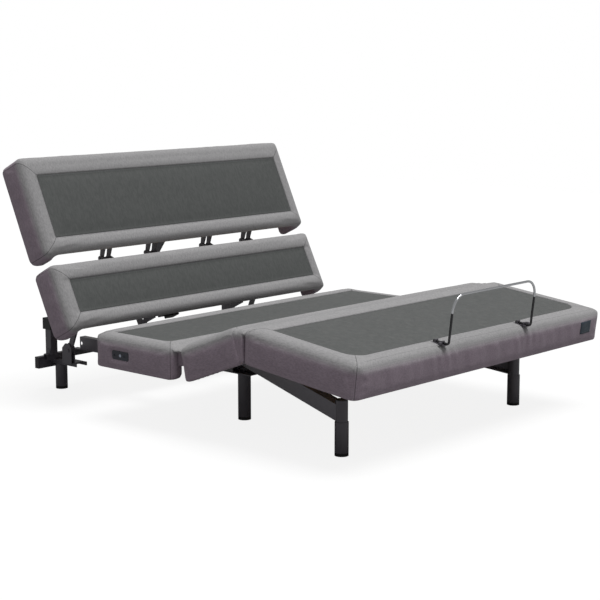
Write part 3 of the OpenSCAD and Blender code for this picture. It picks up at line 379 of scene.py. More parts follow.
ROUNDED = {"seat": 0.045, "leg": 0.060}
panels = {
    "seat": Panel("seat", "base", 0.070, 0.068, 0.056),
    "back": Panel("back", "back", 0.074, 0.067, 0.062),
    "pillow": Panel("pillow", "pillow", 0.082, 0.070, 0.062),
    "thigh": Panel("thigh", "thigh", 0.060, 0.060, 0.080),
    "leg": Panel("leg", "leg_panel", 0.076, 0.070, 0.066),
}
for panel in panels.values():
    print(panel.name, "length", round(panel.length, 3), "depth", round(panel.depth, 3))

# %% [markdown]
# ## Padded covers
# A real panel is a board with a rail round it, a sheet of foam, and a cover pulled tight and stapled
# underneath. Drawing that by hand means many small rounded corners. It is easier to start from the
# CAD solids: they are joined, wrapped in one even skin by a voxel remesh, and then puffed with a
# short cloth simulation that holds the skin at the seams and underneath. Even quads simulate well,
# and they take the puckers and dips that are moved in afterwards.

# %% Wrapping a panel in a skin
VOXEL = 0.010
CLOTH_THICK = 0.0018  # the skin is grown by this much, so that no board edge shows through


def applied(obj):
    """The object's mesh with its modifiers applied, as a new mesh."""
    graph = bpy.context.evaluated_depsgraph_get()
    return bpy.data.meshes.new_from_object(obj.evaluated_get(graph))


def show(mesh, name):
    obj = bpy.data.objects.new(name, mesh)
    scene.collection.objects.link(obj)
    return obj


def drop(obj):
    mesh = obj.data
    bpy.data.objects.remove(obj)
    bpy.data.meshes.remove(mesh)


def outward_of(mesh):
    flat = np.empty(len(mesh.vertices) * 3, np.float32)
    mesh.vertex_normals.foreach_get("vector", flat)
    return flat.reshape(-1, 3)


def skin_of(panel):
    """A closed skin round the panel's cover, rails and board, lying flat in the panel's own axes."""
    joined = bmesh.new()
    for part in ("_cover", "_rails", "_board"):
        joined.from_mesh(nodes[panel.name + part].data)
    mesh = bpy.data.meshes.new("joined")
    joined.to_mesh(mesh)
    joined.free()
    set_points(mesh, panel.to_local(points_of(mesh)))
    raw = show(mesh, "raw")
    remesh = raw.modifiers.new("skin", "REMESH")
    remesh.mode = "VOXEL"
    remesh.voxel_size = VOXEL
    skin = applied(raw)
    drop(raw)
    set_points(skin, points_of(skin) + CLOTH_THICK * outward_of(skin))
    return skin


# %% Puffing it with cloth
PRESSURE_FRAMES = 14
PUFF_CAP = 0.0065
FREE_DEPTH = 0.02  # the cloth moves freely on the top and within this distance of an outer face


def step(value, low, high):
    t = np.clip((value - low) / (high - low), 0, 1)
    return t * t * (3 - 2 * t)


def held_points(panel, points):
    """1 where the cloth is held: along the seams, and everywhere that isn't the padded top or side."""
    room = panel.room(points)
    nearest = room.min(1)
    seam = np.abs(nearest) < VOXEL * 0.6
    under = points[:, 2] < -panel.depth + FREE_DEPTH
    inside = (points[:, 2] < -FREE_DEPTH) & (panel.half - np.abs(points[:, 0]) > FREE_DEPTH)
    ends = (points[:, 1] > FREE_DEPTH) & (points[:, 1] < panel.length - FREE_DEPTH)
    return seam | under | (inside & ends)


def puff(skin, panel):
    """Blows the cloth up a little. It may only swell: a part that would sink stays on the wood."""
    before, outward = points_of(skin), outward_of(skin)
    pad = show(skin, "puffing")
    grip = pad.vertex_groups.new(name="held")
    grip.add([int(i) for i in np.flatnonzero(held_points(panel, before))], 1.0, "REPLACE")
    cloth = pad.modifiers.new("cloth", "CLOTH")
    settings = cloth.settings
    settings.quality = 3
    settings.mass = 0.3
    settings.use_pressure = True
    settings.uniform_pressure_force = 4
    settings.effector_weights.gravity = 0
    settings.vertex_group_mass = "held"
    for frame_number in range(1, PRESSURE_FRAMES + 1):
        scene.frame_set(frame_number)
    puffed = applied(pad)
    move = points_of(puffed) - before
    sunk = np.minimum((move * outward).sum(1, keepdims=True), 0)
    move -= sunk * outward
    size = np.linalg.norm(move, axis=1, keepdims=True)
    move *= PUFF_CAP * np.tanh(size / PUFF_CAP) / np.maximum(size, 1e-9)
    set_points(puffed, before + move)
    drop(pad)
    scene.frame_set(1)
    return puffed


# %% [markdown]
# The skin still needs what the sewing does to it: the border stands a little proud of the middle
# cloth, the side faces have loose vertical puckers, and the cover gathers where it is pulled round
# the corners next to a hinge. These are small moves along known directions, so they are written as
# smooth functions of each point's place.

# %% Sewn shapes
CROWN = 0.0022  # how far the border swells, and how far the middle cloth lies below it
SIDE_PUCKER, END_PUCKER = 0.0009, 0.0011
FACE = 0.012  # points this near to a panel's outer planes belong to its side or end faces


def gathers(points, corner, reach, depth, folds):
    """Creases that fan out from a corner; gives an in or out move for each point."""
    dy, dz = points[:, 1] - corner[0], points[:, 2] - corner[1]
    distance = np.hypot(dy, dz)
    angle = np.arctan2(dz, dy)
    fall = np.exp(-(distance / reach) ** 2) * step(distance, 0.0, 0.012)
    return depth * fall * np.sin(folds * angle + 0.9 * np.sin(2.3 * angle))


def sew(panel, points):
    """Moves the skin's points in the panel's own axes."""
    new = points.copy()
    x, y, z = points.T
    side = panel.half - np.abs(x)
    room = panel.middle(points)
    top = step(z, -0.03, -0.004)
    border = np.clip(-room / panel.side_border, 0, 1)
    swell = np.sin(pi * border) * (room < 0)
    new[:, 2] += top * CROWN * (swell - step(room, -0.004, 0.008))
    # Loose vertical puckers on the sides and ends
    upright = step(z, -0.015, -0.05) * step(z, -panel.depth, -panel.depth + 0.03)
    wave = np.sin(41 * y + 2.1 * np.sin(9 * y)) + 0.6 * np.sin(97 * y + 1.3 + 14 * z)
    new[:, 0] += np.sign(x) * SIDE_PUCKER * wave * upright * (side < FACE)
    wave = np.sin(36 * x + 2.4 * np.sin(7 * x)) + 0.7 * np.sin(83 * x + 0.7 + 18 * z)
    for sign, near in ((-1, y < FACE), (1, panel.length - y < FACE)):
        new[:, 1] += sign * END_PUCKER * wave * upright * near
    return new


RAIL_TUCK, RAIL_INSIDE = 0.003, (0.030, 0.056)  # the cloth on a rail's inner face
BOARD_SHOWS = 0.005  # the skin is drawn this far into the board's underside, which stays bare
EDGE_DRAW = 0.0022  # the lower edges are drawn out by this much


def firm_up(panel, points):
    """Keeps the cloth clear of the wood: it wraps the rails all round, and shows the bare board below."""
    new = points.copy()
    x, y, z = points.T
    side = panel.half - np.abs(x)
    end = np.minimum(y, panel.length - y)
    under_board = (side > 0.054) & (z < -0.016) & (z > -0.045) & (end > FACE)
    new[:, 2] += BOARD_SHOWS * under_board
    rail_inside = (side > RAIL_INSIDE[0]) & (side < RAIL_INSIDE[1]) & (z < -0.045)
    new[:, 0] -= np.sign(x) * RAIL_TUCK * rail_inside
    # The remesh cuts corners off, so the lower edges are drawn out again
    low = step(z, -panel.depth + 0.022, -panel.depth)
    new[:, 2] -= EDGE_DRAW * low
    new[:, 0] += np.sign(x) * EDGE_DRAW * low * (side < FACE)
    for sign, near in ((-1, y), (1, panel.length - y)):
        new[:, 1] += sign * EDGE_DRAW * low * (near < FACE)
    return new


HEM_SEAM = 0.018  # the leg cover's faint hem, from its foot edge


def finish_pad(panel, skin, habit):
    """Sews, subdivides and places a pad, stores what its cloth shader reads, and gives the object."""
    local = firm_up(panel, sew(panel, points_of(skin)))
    set_points(skin, habit(panel, local))
    rough = show(skin, "rough")
    smooth = rough.modifiers.new("smooth", "SUBSURF")
    smooth.levels = smooth.render_levels = 1
    mesh = applied(rough)
    drop(rough)
    local = points_of(mesh)
    store(mesh, "deck_place", local, "FLOAT_VECTOR")
    store(mesh, "border_room", panel.room(local), "FLOAT_VECTOR")
    store(mesh, "middle_room", panel.middle(local), "FLOAT")
    hem = local[:, 1] - HEM_SEAM if panel.name == "leg" else np.full(len(local), 1.0)
    hem = np.where(local[:, 2] > -0.03, hem, 1.0)
    store(mesh, "hem_seam", hem, "FLOAT")
    set_points(mesh, panel.to_row(local))
    mesh.polygons.foreach_set("use_smooth", [True] * len(mesh.polygons))
    mesh.materials.clear()
    mesh.materials.append(cover_cloth)
    pad = show(mesh, panel.name + "_pad")
    print(pad.name, len(mesh.polygons), "faces")
    return pad


def store(mesh, name, values, kind):
    layer = mesh.attributes.new(name, kind, "POINT")
    field = "vector" if kind == "FLOAT_VECTOR" else "value"
    layer.data.foreach_set(field, np.ascontiguousarray(values, np.float32).ravel())


# %% [markdown]
# Each panel has its own habits. The seat's cover stops short of the socket plate on its side. The
# thigh's and the leg's covers gather beside the knee. The leg's foot edge dips under the two feet of
# the mattress retainer, which pull the cloth into folds down the foot face.

# %% Habits of single panels
PLATE_SEAT = 0.0035  # behind the plate the cloth lies this far inside the side's plane


def seat_habits(panel, points):
    low, high = panel.to_local(np.array(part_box("port_plate")))
    middle, reach = (low + high) / 2, (high - low) / 2
    new = points.copy()
    x, y, z = points.T
    past_plate = np.maximum(np.abs(y - middle[1]) - reach[1], np.abs(z - middle[2]) - reach[2])
    flat = np.where(x < -panel.half + FACE, step(past_plate, 0.010, 0.0), 0)
    new[:, 0] = x * (1 - flat) + (PLATE_SEAT - panel.half) * flat
    edge = np.abs(x) > panel.half - 0.03
    new[:, 0] += np.sign(x) * gathers(points, (0.0, -0.012), 0.045, 0.0016, 7) * edge
    return new


KNEE_ROOM = 0.0035
HIP_LEAN = (0.010, 0.014)  # at the top, and how much more at the bottom


def thigh_habits(panel, points):
    new = points.copy()
    x, y, z = points.T
    edge = np.abs(x) > panel.half - 0.03
    for end in (0.0, panel.length):
        new[:, 0] += np.sign(x) * gathers(points, (end, -0.02), 0.05, 0.0022, 9) * edge
    # The foam at the head end leans towards the seat, over the gap of the hip
    lean = HIP_LEAN[0] + HIP_LEAN[1] * step(z, -0.02, -panel.depth)
    new[:, 1] += lean * step(y, panel.length - 0.06, panel.length)
    # At the knee the two pads meet when the bed is flat, so each stands back a little
    new[:, 1] += KNEE_ROOM * step(y, 0.03, 0.0)
    return new


ROD_HALF = 0.0045
RETAINER_FEET = [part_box("retainer_bar")[0][0] + ROD_HALF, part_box("retainer_bar")[1][0] - ROD_HALF]
PRESSED, RAISED, FOLD = 0.0035, 0.0025, 0.0026


def leg_habits(panel, points):
    new = points.copy()
    x, y, z = points.T
    edge = np.abs(x) > panel.half - 0.03
    new[:, 0] += np.sign(x) * gathers(points, (panel.length, -0.02), 0.05, 0.0022, 9) * edge
    new[:, 1] -= KNEE_ROOM * step(y, panel.length - 0.03, panel.length)
    front = step(y, 0.10, 0.02)
    for foot in RETAINER_FEET:
        away = x - foot
        new[:, 2] -= PRESSED * np.exp(-(away / 0.05) ** 2) * front * step(z, -0.05, -0.005)
        new[:, 2] += RAISED * np.exp(-((away - 0.13) / 0.07) ** 2) * front * step(z, -0.05, -0.005)
        # Folds that hang from the pressed edge
        drape = np.exp(-(away / 0.09) ** 2) * step(z, -0.105, -0.03) * (y < 0.014)
        new[:, 1] -= FOLD * drape * np.sin(150 * away + 22 * z)
    return new


FOOT_SWELL = 0.006


def back_habits(panel, points):
    """The foam swells at the foot end, where the cover has no board behind it."""
    new = points.copy()
    x, y, z = points.T
    low = step(y, 0.035, 0.0) * step(z, -0.012, -0.05)
    new[:, 1] -= FOOT_SWELL * low
    return new


habits = {
    "seat": seat_habits,
    "back": back_habits,
    "pillow": back_habits,
    "thigh": thigh_habits,
    "leg": leg_habits,
}

# %% Make the pads
pads = {}
for panel in panels.values():
    skin = skin_of(panel)
    print(panel.name, "skin", len(skin.polygons), "faces")
    skin = puff(skin, panel)
    pad = finish_pad(panel, skin, habits[panel.name])
    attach(pad, panel.body)
    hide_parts(panel.name + "_cover")
    pads[panel.name] = pad

# %% [markdown]
# ## Cloth over the hinges
# Stretch cloth covers the gaps at the two foot hinges. It runs from deck to deck across the whole
# width, over the rounded edge and down the sides, where it is pulled inwards as a dark crease between
# two soft cheeks. A cloth simulation would give the same sheet with less say in where the crease
# falls.

# %% The sheet between two panels
def outline(half, drop_side, radius):
    """The section of a cover's end: up the left side, over the top and down the right side."""
    side_rows = max(4, int((drop_side - radius) / 0.008))
    up = [(-half, -drop_side + (drop_side - radius) * k / side_rows) for k in range(side_rows)]
    turns = [a * pi / 20 for a in range(11)]
    arc = [(-half + radius - radius * cos(a), -radius + radius * sin(a)) for a in turns]
    left = np.array(up + arc)
    inner = half - radius
    top = np.stack([np.linspace(-inner, inner, 120)[1:-1], np.zeros(118)], 1)
    return np.concatenate([left, top, left[::-1] * [-1, 1]])


SHEET_STEPS = 30
SHEET_SINK = 0.0008  # the sheet runs this far under the panels' cloth planes


def hinge_cloth(name, head_panel, foot_panel, inside, drop_side, sag, crease, seam_at=None):
    """A sheet from head_panel to foot_panel; it starts `inside` their edges (head one, foot one).
    crease is its depth on the sides, its place from 0 at the head to 1 at the foot, and its width."""
    rows = outline(foot_panel.half - 0.001, drop_side, 0.025)
    x, low = rows.T
    down = step(low, -0.006, -0.03)
    depth, place, width = crease
    at = np.linspace(0, 1, SHEET_STEPS + 1)
    head_line = head_panel.to_row(np.stack([x, np.full(len(x), inside[0]), low - SHEET_SINK], 1))
    foot_y = foot_panel.length - inside[1]
    foot_line = foot_panel.to_row(np.stack([x, np.full(len(x), foot_y), low - SHEET_SINK], 1))
    sheet = head_line[None] * (1 - at[:, None, None]) + foot_line[None] * at[:, None, None]
    ends = (step(at, 0, 0.12) * step(at, 1, 0.88))[:, None]
    notch = np.exp(-(np.abs(at - place) / width) ** 4)[:, None] * ends
    near_side = np.exp(-((foot_panel.half - np.abs(x)) / 0.05) ** 2)
    sheet[:, :, 2] -= sag * np.sin(pi * at)[:, None] * (1 - down)
    sheet[:, :, 2] -= 0.3 * depth * notch * near_side * (1 - down)
    sheet[:, :, 2] += 0.0012 * near_side * (1 - down) * np.sin(5 * pi * at + 0.6)[:, None] * ends
    sheet[:, :, 0] -= np.sign(x) * depth * notch * down
    count = len(rows)
    faces = [(i * count + j, (i + 1) * count + j, (i + 1) * count + j + 1, i * count + j + 1)
             for i in range(SHEET_STEPS) for j in range(count - 1)]
    mesh = bpy.data.meshes.new(name)
    mesh.from_pydata(sheet.reshape(-1, 3).tolist(), [], faces)
    t = np.repeat(at, count)
    flat = np.tile(rows, (SHEET_STEPS + 1, 1))
    span = float(np.linalg.norm(sheet[-1, count // 2] - sheet[0, count // 2]))
    store(mesh, "deck_place", np.stack([flat[:, 0], -t * span, flat[:, 1]], 1), "FLOAT_VECTOR")
    store(mesh, "hem_seam", (t - seam_at) * span if seam_at else np.ones(len(t)), "FLOAT")
    store(mesh, "border_room", np.tile((1.0, 2.0, 3.0), (len(t), 1)), "FLOAT_VECTOR")
    store(mesh, "middle_room", np.full(len(t), -0.04), "FLOAT")
    rough = show(mesh, name + "_sheet")
    thick = rough.modifiers.new("thickness", "SOLIDIFY")
    thick.thickness = 0.002
    thick.offset = -1
    done = applied(rough)
    drop(rough)
    done.polygons.foreach_set("use_smooth", [True] * len(done.polygons))
    done.materials.clear()
    done.materials.append(cover_cloth)
    print(name, "spans", round(span, 4))
    return show(done, name), tuple(sheet[0, count // 2]), tuple(sheet[-1, count // 2])


# %% Hip and knee cloths
seat, back, pillow, thigh, leg = (panels[k] for k in ("seat", "back", "pillow", "thigh", "leg"))
hip_cloth, hip_start, hip_end = hinge_cloth(
    "hip_cloth", seat, thigh, (0.018, 0.03), 0.080, 0.003, (0.034, 0.5, 0.42))
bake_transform(hip_cloth)
knee_cloth, knee_start, knee_end = hinge_cloth(
    "knee_cloth", thigh, leg, (0.012, 0.018), 0.122, 0.001, (0.026, 0.66, 0.11), seam_at=0.3)
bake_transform(knee_cloth)

# %% [markdown]
# ## Stitches
# A row of short stitches runs round the middle cloth, on its border side. Every stitch is the same, so
# a Geometry Nodes tree sets one small capsule at even steps along a path. The paths are laid on the
# finished pads with rays, so the stitches sit on the cloth wherever it swells or dips.

# %% A tree that repeats a piece along a path
def along_path_tree():
    """Geometry Nodes: resample a curve, put one piece at each point, turned along the curve."""
    tree = bpy.data.node_groups.new("along a path", "GeometryNodeTree")
    for label, kind in (("Geometry", "NodeSocketGeometry"), ("Spacing", FLOAT), ("Length", FLOAT),
                        ("Radius", FLOAT), ("Material", "NodeSocketMaterial")):
        tree.interface.new_socket(label, in_out="INPUT", socket_type=kind)
    tree.interface.new_socket("Geometry", in_out="OUTPUT", socket_type="NodeSocketGeometry")
    gi, go = tree.nodes.new("NodeGroupInput"), tree.nodes.new("NodeGroupOutput")
    link = tree.links.new
    curve = tree.nodes.new("GeometryNodeMeshToCurve")
    link(gi.outputs["Geometry"], curve.inputs[0])
    even = tree.nodes.new("GeometryNodeResampleCurve")
    even.mode = "LENGTH"
    link(curve.outputs[0], even.inputs["Curve"])
    link(gi.outputs["Spacing"], even.inputs["Length"])
    capsule = tree.nodes.new("GeometryNodeMeshCylinder")
    capsule.inputs["Vertices"].default_value = 5
    link(gi.outputs["Radius"], capsule.inputs["Radius"])
    link(gi.outputs["Length"], capsule.inputs["Depth"])
    turn = tree.nodes.new("FunctionNodeAlignRotationToVector")
    turn.axis = "Z"
    tangent = tree.nodes.new("GeometryNodeInputTangent")
    link(tangent.outputs[0], turn.inputs["Vector"])
    put_on = tree.nodes.new("GeometryNodeInstanceOnPoints")
    link(even.outputs[0], put_on.inputs["Points"])
    link(capsule.outputs["Mesh"], put_on.inputs["Instance"])
    link(turn.outputs[0], put_on.inputs["Rotation"])
    real = tree.nodes.new("GeometryNodeRealizeInstances")
    link(put_on.outputs[0], real.inputs[0])
    finish = tree.nodes.new("GeometryNodeSetMaterial")
    link(real.outputs[0], finish.inputs["Geometry"])
    link(gi.outputs["Material"], finish.inputs["Material"])
    link(finish.outputs[0], go.inputs[0])
    return tree


def repeat_along(name, paths, spacing, length, radius, material):
    """One mesh of pieces along several paths, each path a list of points in the row frame."""
    points, edges = [], []
    for path in paths:
        first = len(points)
        points += [tuple(p) for p in path]
        edges += [(first + k, first + k + 1) for k in range(len(path) - 1)]
    mesh = bpy.data.meshes.new(name)
    mesh.from_pydata(points, edges, [])
    guide = show(mesh, name + "_guide")
    modifier = guide.modifiers.new("repeat", "NODES")
    modifier.node_group = path_tree
    ids = {item.name: item.identifier for item in path_tree.interface.items_tree if item.in_out == "INPUT"}
    values = {"Spacing": spacing, "Length": length, "Radius": radius, "Material": material}
    for label, value in values.items():
        modifier[ids[label]] = value
    done = applied(guide)
    drop(guide)
    made = show(done, name)
    print(name, len(done.polygons), "faces on", len(paths), "paths")
    return made


path_tree = along_path_tree()

# %% Lay the seams on the pads
def surface_of(obj):
    mesh = obj.data
    return BVHTree.FromPolygons([v.co for v in mesh.vertices], [p.vertices for p in mesh.polygons])


def laid(panel, tree, x, y, lift=0.0003):
    """Drops each (x, y) of a panel onto its pad and gives the points in the row frame."""
    starts = panel.to_row(np.stack([x, y, np.full(len(x), 0.05)], 1))
    down = Vector(-panel.axes[2])
    path = []
    for start in starts:
        hit = tree.ray_cast(Vector(start), down, 0.12)[0]
        if hit is not None:
            path.append(hit - down * lift)
    return path


def run(a, b):
    """Points along one stretch of a seam, more of them where it is long."""
    count = 100 if abs(a[0] - b[0]) > 0.2 else 40 if abs(a[1] - b[1]) > 0.1 else 3
    return np.linspace(a[0], b[0], count), np.linspace(a[1], b[1], count)


def seam_paths(panel, tree):
    """The row of stitches on the border, round the middle cloth."""
    away = 0.004
    reach = panel.half - panel.side_border + away
    head = panel.length - panel.head_border + away
    foot = panel.foot_border - away
    r = ROUNDED.get(panel.name, 0) + away
    bend = [a * pi / 24 for a in range(13)]
    left = [(-reach, head), (-reach, foot + r)]
    left += [(-reach + r - r * cos(a), foot + r - r * sin(a)) for a in bend]
    ring = left + [(-x, y) for x, y in left[::-1]] + [(-reach, head)]
    paths = [laid(panel, tree, *run(a, b)) for a, b in zip(ring, ring[1:])]
    return [[point for path in paths for point in path]]


thread, tree, shader = new_material("sewing thread", Roughness=0.7, Sheen_Weight=0.2)
twist = noise(tree, object_place(tree), 1400.0, 2.0)
put(tree, shader.inputs["Base Color"], blend_colours(tree, twist, linear(74, 73, 76), linear(104, 102, 106)))
for panel in panels.values():
    paths = seam_paths(panel, surface_of(pads[panel.name]))
    stitches = repeat_along(panel.name + "_stitches", paths, 0.005, 0.0034, 0.00035, thread)
    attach(stitches, panel.body)

# %% [markdown]
# ## Staples
# Under each panel the cloth is turned over the rails and stapled. Staples repeat too, so the same
# tree sets them along the rails' lower faces, as short wires.

# %% Staples under the rails
staple_wire, tree, shader = new_material("staple wire", Metallic=1.0, Roughness=0.35)
tarnish = noise(tree, object_place(tree), 300.0, 2.0)
wire = blend_colours(tree, tarnish, linear(150, 150, 148), linear(190, 189, 186))
put(tree, shader.inputs["Base Color"], wire)
for panel in panels.values():
    tree = surface_of(pads[panel.name])
    rows = []
    up = Vector(panel.axes[2])
    for s in (-1, 1):
        x = np.full(60, s * (panel.half - 0.026))
        y = np.linspace(0.03, panel.length - 0.03, 60)
        starts = panel.to_row(np.stack([x, y, np.full(60, -panel.depth - 0.05)], 1))
        hits = [tree.ray_cast(Vector(start), up, 0.12)[0] for start in starts]
        rows.append([hit - up * 0.0003 for hit in hits if hit is not None])
    rows = [row for row in rows if len(row) > 1]
    staples = repeat_along(panel.name + "_staples", rows, 0.024, 0.010, 0.0005, staple_wire)
    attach(staples, panel.body)

# %% [markdown]
# ## The woven tag
# A plain woven tag is sewn to the foot face near its right corner. It carries no mark. It is a thin
# patch laid on the puckered cloth, so it follows it.

# %% Tag
TAG_X, TAG_Z = (0.612, 0.686), (-0.083, -0.035)
foot_cloth = surface_of(pads["leg"])
inward = Vector(leg.axes[1])
columns, rows = 16, 11
tag_points = []
for z in np.linspace(*TAG_Z, rows):
    for x in np.linspace(*TAG_X, columns):
        start = Vector(leg.to_row(np.array([[x, -0.06, z]]))[0])
        hit = foot_cloth.ray_cast(start, inward, 0.12)[0]
        tag_points.append(hit - inward * 0.0007)
tag_faces = [(r * columns + c, r * columns + c + 1, (r + 1) * columns + c + 1, (r + 1) * columns + c)
             for r in range(rows - 1) for c in range(columns - 1)]
tag_mesh = bpy.data.meshes.new("foot_tag")
tag_mesh.from_pydata([tuple(p) for p in tag_points], [], tag_faces)
rough = show(tag_mesh, "tag_sheet")
thick = rough.modifiers.new("thickness", "SOLIDIFY")
thick.thickness = 0.0009
thick.offset = 1
tag = show(applied(rough), "foot_tag")
drop(rough)
tag.data.polygons.foreach_set("use_smooth", [True] * len(tag.data.polygons))
woven, tree, shader = new_material("woven tag", Roughness=0.6, Sheen_Weight=0.1)
ribs = add_node(tree, "ShaderNodeTexWave", Vector=object_place(tree), Scale=220.0)
navy = blend_colours(tree, ribs.outputs["Fac"], linear(16, 34, 48), linear(24, 48, 64))
put(tree, shader.inputs["Base Color"], navy)
put(tree, shader.inputs["Normal"], bump(tree, ribs.outputs["Fac"], 0.3, 0.0002))
tag.data.materials.append(woven)
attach(tag, "leg_panel")

# %% [markdown]
# ## Light, floor and backdrop
# A soft key comes from above the foot end, a wide white sky fills the rest, and the floor is a plain
# pale sheet. The floor is lit a little by itself where the camera sees it, so it stays white and
# keeps only the object's soft shadow.

# %% Light and floor
scene.view_settings.view_transform = "Standard"
world = bpy.data.worlds.new("studio")
scene.world = world
world.use_nodes = True
tree = world.node_tree
tree.nodes.clear()
sky = tree.nodes.new("ShaderNodeBackground")
sky.inputs["Color"].default_value = (1, 1, 1, 1)
sky.inputs["Strength"].default_value = 0.3
backdrop = tree.nodes.new("ShaderNodeBackground")
backdrop.inputs["Color"].default_value = (1, 1, 1, 1)
backdrop.inputs["Strength"].default_value = 1.0
path = tree.nodes.new("ShaderNodeLightPath")
choose = tree.nodes.new("ShaderNodeMixShader")
tree.links.new(path.outputs["Is Camera Ray"], choose.inputs[0])
tree.links.new(sky.outputs[0], choose.inputs[1])
tree.links.new(backdrop.outputs[0], choose.inputs[2])
tree.links.new(choose.outputs[0], tree.nodes.new("ShaderNodeOutputWorld").inputs[0])


key = bpy.data.lights.new("key", "SUN")
key.energy = 2.85
key.angle = radians(38)
key_holder = bpy.data.objects.new("key", key)
key_holder.rotation_euler = Vector((0.08, -0.23, 0.97)).to_track_quat("Z", "Y").to_euler()
scene.collection.objects.link(key_holder)

floor_mesh = bpy.data.meshes.new("floor")
floor_mesh.from_pydata([(-9, -9, 0), (9, -9, 0), (9, 9, 0), (-9, 9, 0)], [], [(0, 1, 2, 3)])
floor = show(floor_mesh, "floor")
paper, tree, shader = new_material("floor paper", Roughness=0.9)
fibre = noise(tree, object_place(tree), 90.0, 3.0)
put(tree, shader.inputs["Base Color"], blend_colours(tree, fibre, (0.29, 0.29, 0.29), (0.33, 0.33, 0.33)))
seen = add_node(tree, "ShaderNodeBsdfDiffuse", Color=(0.9, 0.9, 0.9))
lit = add_node(tree, "ShaderNodeEmission", Color=(1.0, 1.0, 1.0), Strength=1.02)
white = tree.nodes.new("ShaderNodeMixShader")
white.inputs[0].default_value = 0.85
tree.links.new(seen.outputs[0], white.inputs[1])
tree.links.new(lit.outputs[0], white.inputs[2])
cover = tree.nodes.new("ShaderNodeMixShader")
put(tree, cover.inputs[0], tree.nodes.new("ShaderNodeLightPath").outputs["Is Camera Ray"])
tree.links.new(shader.outputs[0], cover.inputs[1])
tree.links.new(white.outputs[0], cover.inputs[2])
tree.links.new(cover.outputs[0], tree.nodes["Material Output"].inputs[0])
floor_mesh.materials.append(paper)

# %% [markdown]
# ## Finishes of the hard parts
# The frame is welded steel tube with a satin black powder coat. Rods are ground or chromed, bolts are
# zinc plated, glides and motor housings are moulded plastic, and decks are board. One function makes
# each family, so the pieces differ only in the values that make them differ in life.

# %% Coated steel and bare metal
# The dark lower uprights of the retainer are a painted dark reflection of the cloth.
RETAINER_REFLECTION_TOP = 0.120  # the black reaches this far above the deck


def coated(name, dark, light, roughness, peel=0.25, wear=0.35, dust=0.12):
    made, tree, shader = new_material(name, Metallic=0.0, Coat_Weight=0.15)
    place = object_place(tree)
    skin = use_group(tree, peel_group, Place=place, Size=0.0014)
    worn = use_group(tree, wear_group, Place=place, Width=0.0018, Amount=wear)
    dusty = use_group(tree, dust_group, Place=place, Amount=dust)
    paint = blend_colours(tree, skin.outputs["Cloud"], dark, light)
    paint = blend_colours(tree, worn.outputs["Wear"], paint, linear(112, 111, 114))
    paint = blend_colours(tree, dusty.outputs["Dust"], paint, linear(150, 146, 142))
    put(tree, shader.inputs["Base Color"], paint)
    rough = math_node(tree, "ADD", roughness - 0.06, math_node(tree, "MULTIPLY", skin.outputs["Cloud"], 0.12))
    polish = math_node(tree, "MULTIPLY", worn.outputs["Wear"], 0.15)
    put(tree, shader.inputs["Roughness"], math_node(tree, "SUBTRACT", rough, polish))
    put(tree, shader.inputs["Normal"], bump(tree, skin.outputs["Height"], peel, 0.0003))
    return made


def bare_metal(name, dark, light, low, high, streak=(1, 1, 1), size=220.0):
    made, tree, shader = new_material(name, Metallic=1.0)
    stretched = add_node(tree, "ShaderNodeVectorMath", Vector=object_place(tree))
    stretched.operation = "MULTIPLY"
    stretched.inputs[1].default_value = streak
    grain = noise(tree, stretched.outputs[0], size, 3.0)
    cloud = noise(tree, object_place(tree), 24.0, 3.0)
    put(tree, shader.inputs["Base Color"], blend_colours(tree, cloud, dark, light))
    put(tree, shader.inputs["Roughness"], fade(tree, grain, 0.3, 0.7, low, high))
    put(tree, shader.inputs["Normal"], bump(tree, grain, 0.12, 0.0001))
    return made


def retainer_finish(name):
    """Chrome on the loop; below a set height the uprights are gloss black, a painted dark reflection of the
    cloth they pass.
    """
    made, tree, shader = new_material(name, Coat_Weight=0.3)
    place = object_place(tree)
    rise = add_node(tree, "ShaderNodeVectorMath", Vector=place)
    rise.operation = "DOT_PRODUCT"
    rise.inputs[1].default_value = tuple(leg.axes[2])
    # Below a set height above the deck the uprights are painted black, a painted dark reflection in place of
    # chrome.
    above = math_node(tree, "SUBTRACT", rise.outputs["Value"], float(leg.origin[2]))
    bright = fade(tree, above, RETAINER_REFLECTION_TOP - 0.001, RETAINER_REFLECTION_TOP + 0.001)
    grain = noise(tree, place, 260.0, 3.0)
    cloud = noise(tree, place, 30.0, 3.0)
    black = blend_colours(tree, cloud, linear(24, 24, 27), linear(40, 39, 43))
    chrome = blend_colours(tree, cloud, linear(206, 208, 212), linear(230, 231, 234))
    put(tree, shader.inputs["Base Color"], blend_colours(tree, bright, black, chrome))
    put(tree, shader.inputs["Metallic"], bright)
    put(tree, shader.inputs["Roughness"], fade(tree, grain, 0.3, 0.7, 0.10, 0.20))
    put(tree, shader.inputs["Normal"], bump(tree, grain, 0.08, 0.0001))
    return made


# %% Plastic and wood
def moulded(name, dark, light, roughness, grain_size=0.0009, relief=0.3, dust=0.08):
    made, tree, shader = new_material(name)
    place = object_place(tree)
    texture = noise(tree, place, 1 / grain_size, 2.0)
    cloud = noise(tree, place, 17.0, 3.0)
    dusty = use_group(tree, dust_group, Place=place, Amount=dust)
    colour = blend_colours(tree, cloud, dark, light)
    colour = blend_colours(tree, dusty.outputs["Dust"], colour, linear(150, 147, 143))
    put(tree, shader.inputs["Base Color"], colour)
    put(tree, shader.inputs["Roughness"], fade(tree, cloud, 0.2, 0.8, roughness - 0.05, roughness + 0.05))
    put(tree, shader.inputs["Normal"], bump(tree, texture, relief, 0.0002))
    return made


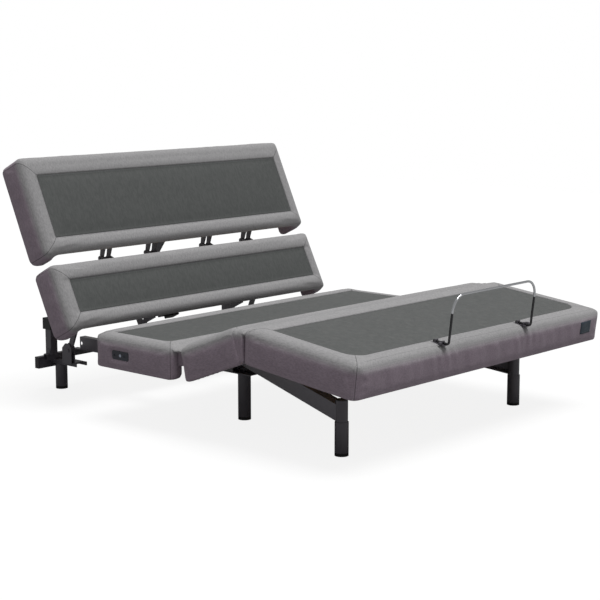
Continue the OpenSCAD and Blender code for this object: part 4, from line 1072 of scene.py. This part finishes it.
def board_wood(name):
    made, tree, shader = new_material(name, Roughness=0.75)
    long_grain = add_node(tree, "ShaderNodeVectorMath", Vector=object_place(tree))
    long_grain.operation = "MULTIPLY"
    long_grain.inputs[1].default_value = (0.05, 1.0, 1.0)
    fibres = noise(tree, long_grain.outputs[0], 160.0, 5.0, 0.7)
    patches = noise(tree, object_place(tree), 6.0, 4.0)
    colour = blend_colours(tree, fibres, linear(168, 134, 92), linear(204, 172, 126))
    put(tree, shader.inputs["Base Color"], blend_colours(tree, patches, colour, linear(186, 150, 108)))
    put(tree, shader.inputs["Normal"], bump(tree, fibres, 0.2, 0.0004))
    return made


finishes = {
    "black_steel": coated(
        "black powder coat", linear(74, 71, 78), linear(90, 87, 94), 0.42),
    # The rails' lighter base colours are a painted reflection of the pale floor; their extra wear and dust
    # are real.
    "rail_steel": coated(
        "rubbed powder coat", linear(100, 97, 105), linear(118, 115, 122), 0.38, wear=0.5, dust=0.25),
    "steel_zinc": bare_metal(
        "zinc plate", linear(168, 168, 164), linear(196, 195, 188), 0.28, 0.45),
    "chrome_rod": bare_metal(
        "bright chrome", linear(216, 218, 222), linear(232, 233, 236), 0.06, 0.14),
    "rod_steel": bare_metal(
        "ground rod", linear(176, 178, 180), linear(200, 201, 203), 0.16, 0.3, (1, 0.1, 1)),
    "black_plastic": moulded(
        "black plastic", linear(22, 22, 24), linear(32, 31, 34), 0.5),
    "cap_plastic": moulded(
        "end cap plastic", linear(44, 43, 47), linear(58, 56, 60), 0.55),
    "dark_gloss": moulded(
        "gloss plate plastic", linear(24, 26, 40), linear(34, 36, 52), 0.18, relief=0.05),
    "button_plastic": moulded(
        "button plastic", linear(150, 158, 176), linear(176, 182, 196), 0.3, relief=0.05),
    "roller_nylon": moulded(
        "roller nylon", linear(192, 188, 176), linear(210, 206, 194), 0.45),
    "motor_plastic": moulded(
        "motor housing plastic", linear(34, 34, 36), linear(46, 45, 48), 0.42),
    "deck_wood": board_wood("birch board"),
    "grey_fabric": cover_cloth,
    "retainer": retainer_finish("painted_reflection chrome"),
}
print(len(finishes), "finishes")

# %% [markdown]
# Every CAD node now gets the finish of its slot, which its first material names. The foot rails and side
# rails have their own: their coat is painted lighter as a painted reflection of the pale floor, and they
# carry more wear and dust, as they are handled most. The mattress retainer has one finish with two zones,
# chrome and a painted dark reflection on the lower uprights.

# %% Put the finishes on
own_finish = {"foot_rails": "rail_steel", "roller_channels": "rail_steel", "retainer_bar": "retainer"}
for name, obj in nodes.items():
    wanted = own_finish.get(name) or obj.data.materials[0].name.split(".")[0]
    obj.data.materials.clear()
    obj.data.materials.append(finishes[wanted])
print(len(nodes), "CAD nodes finished")
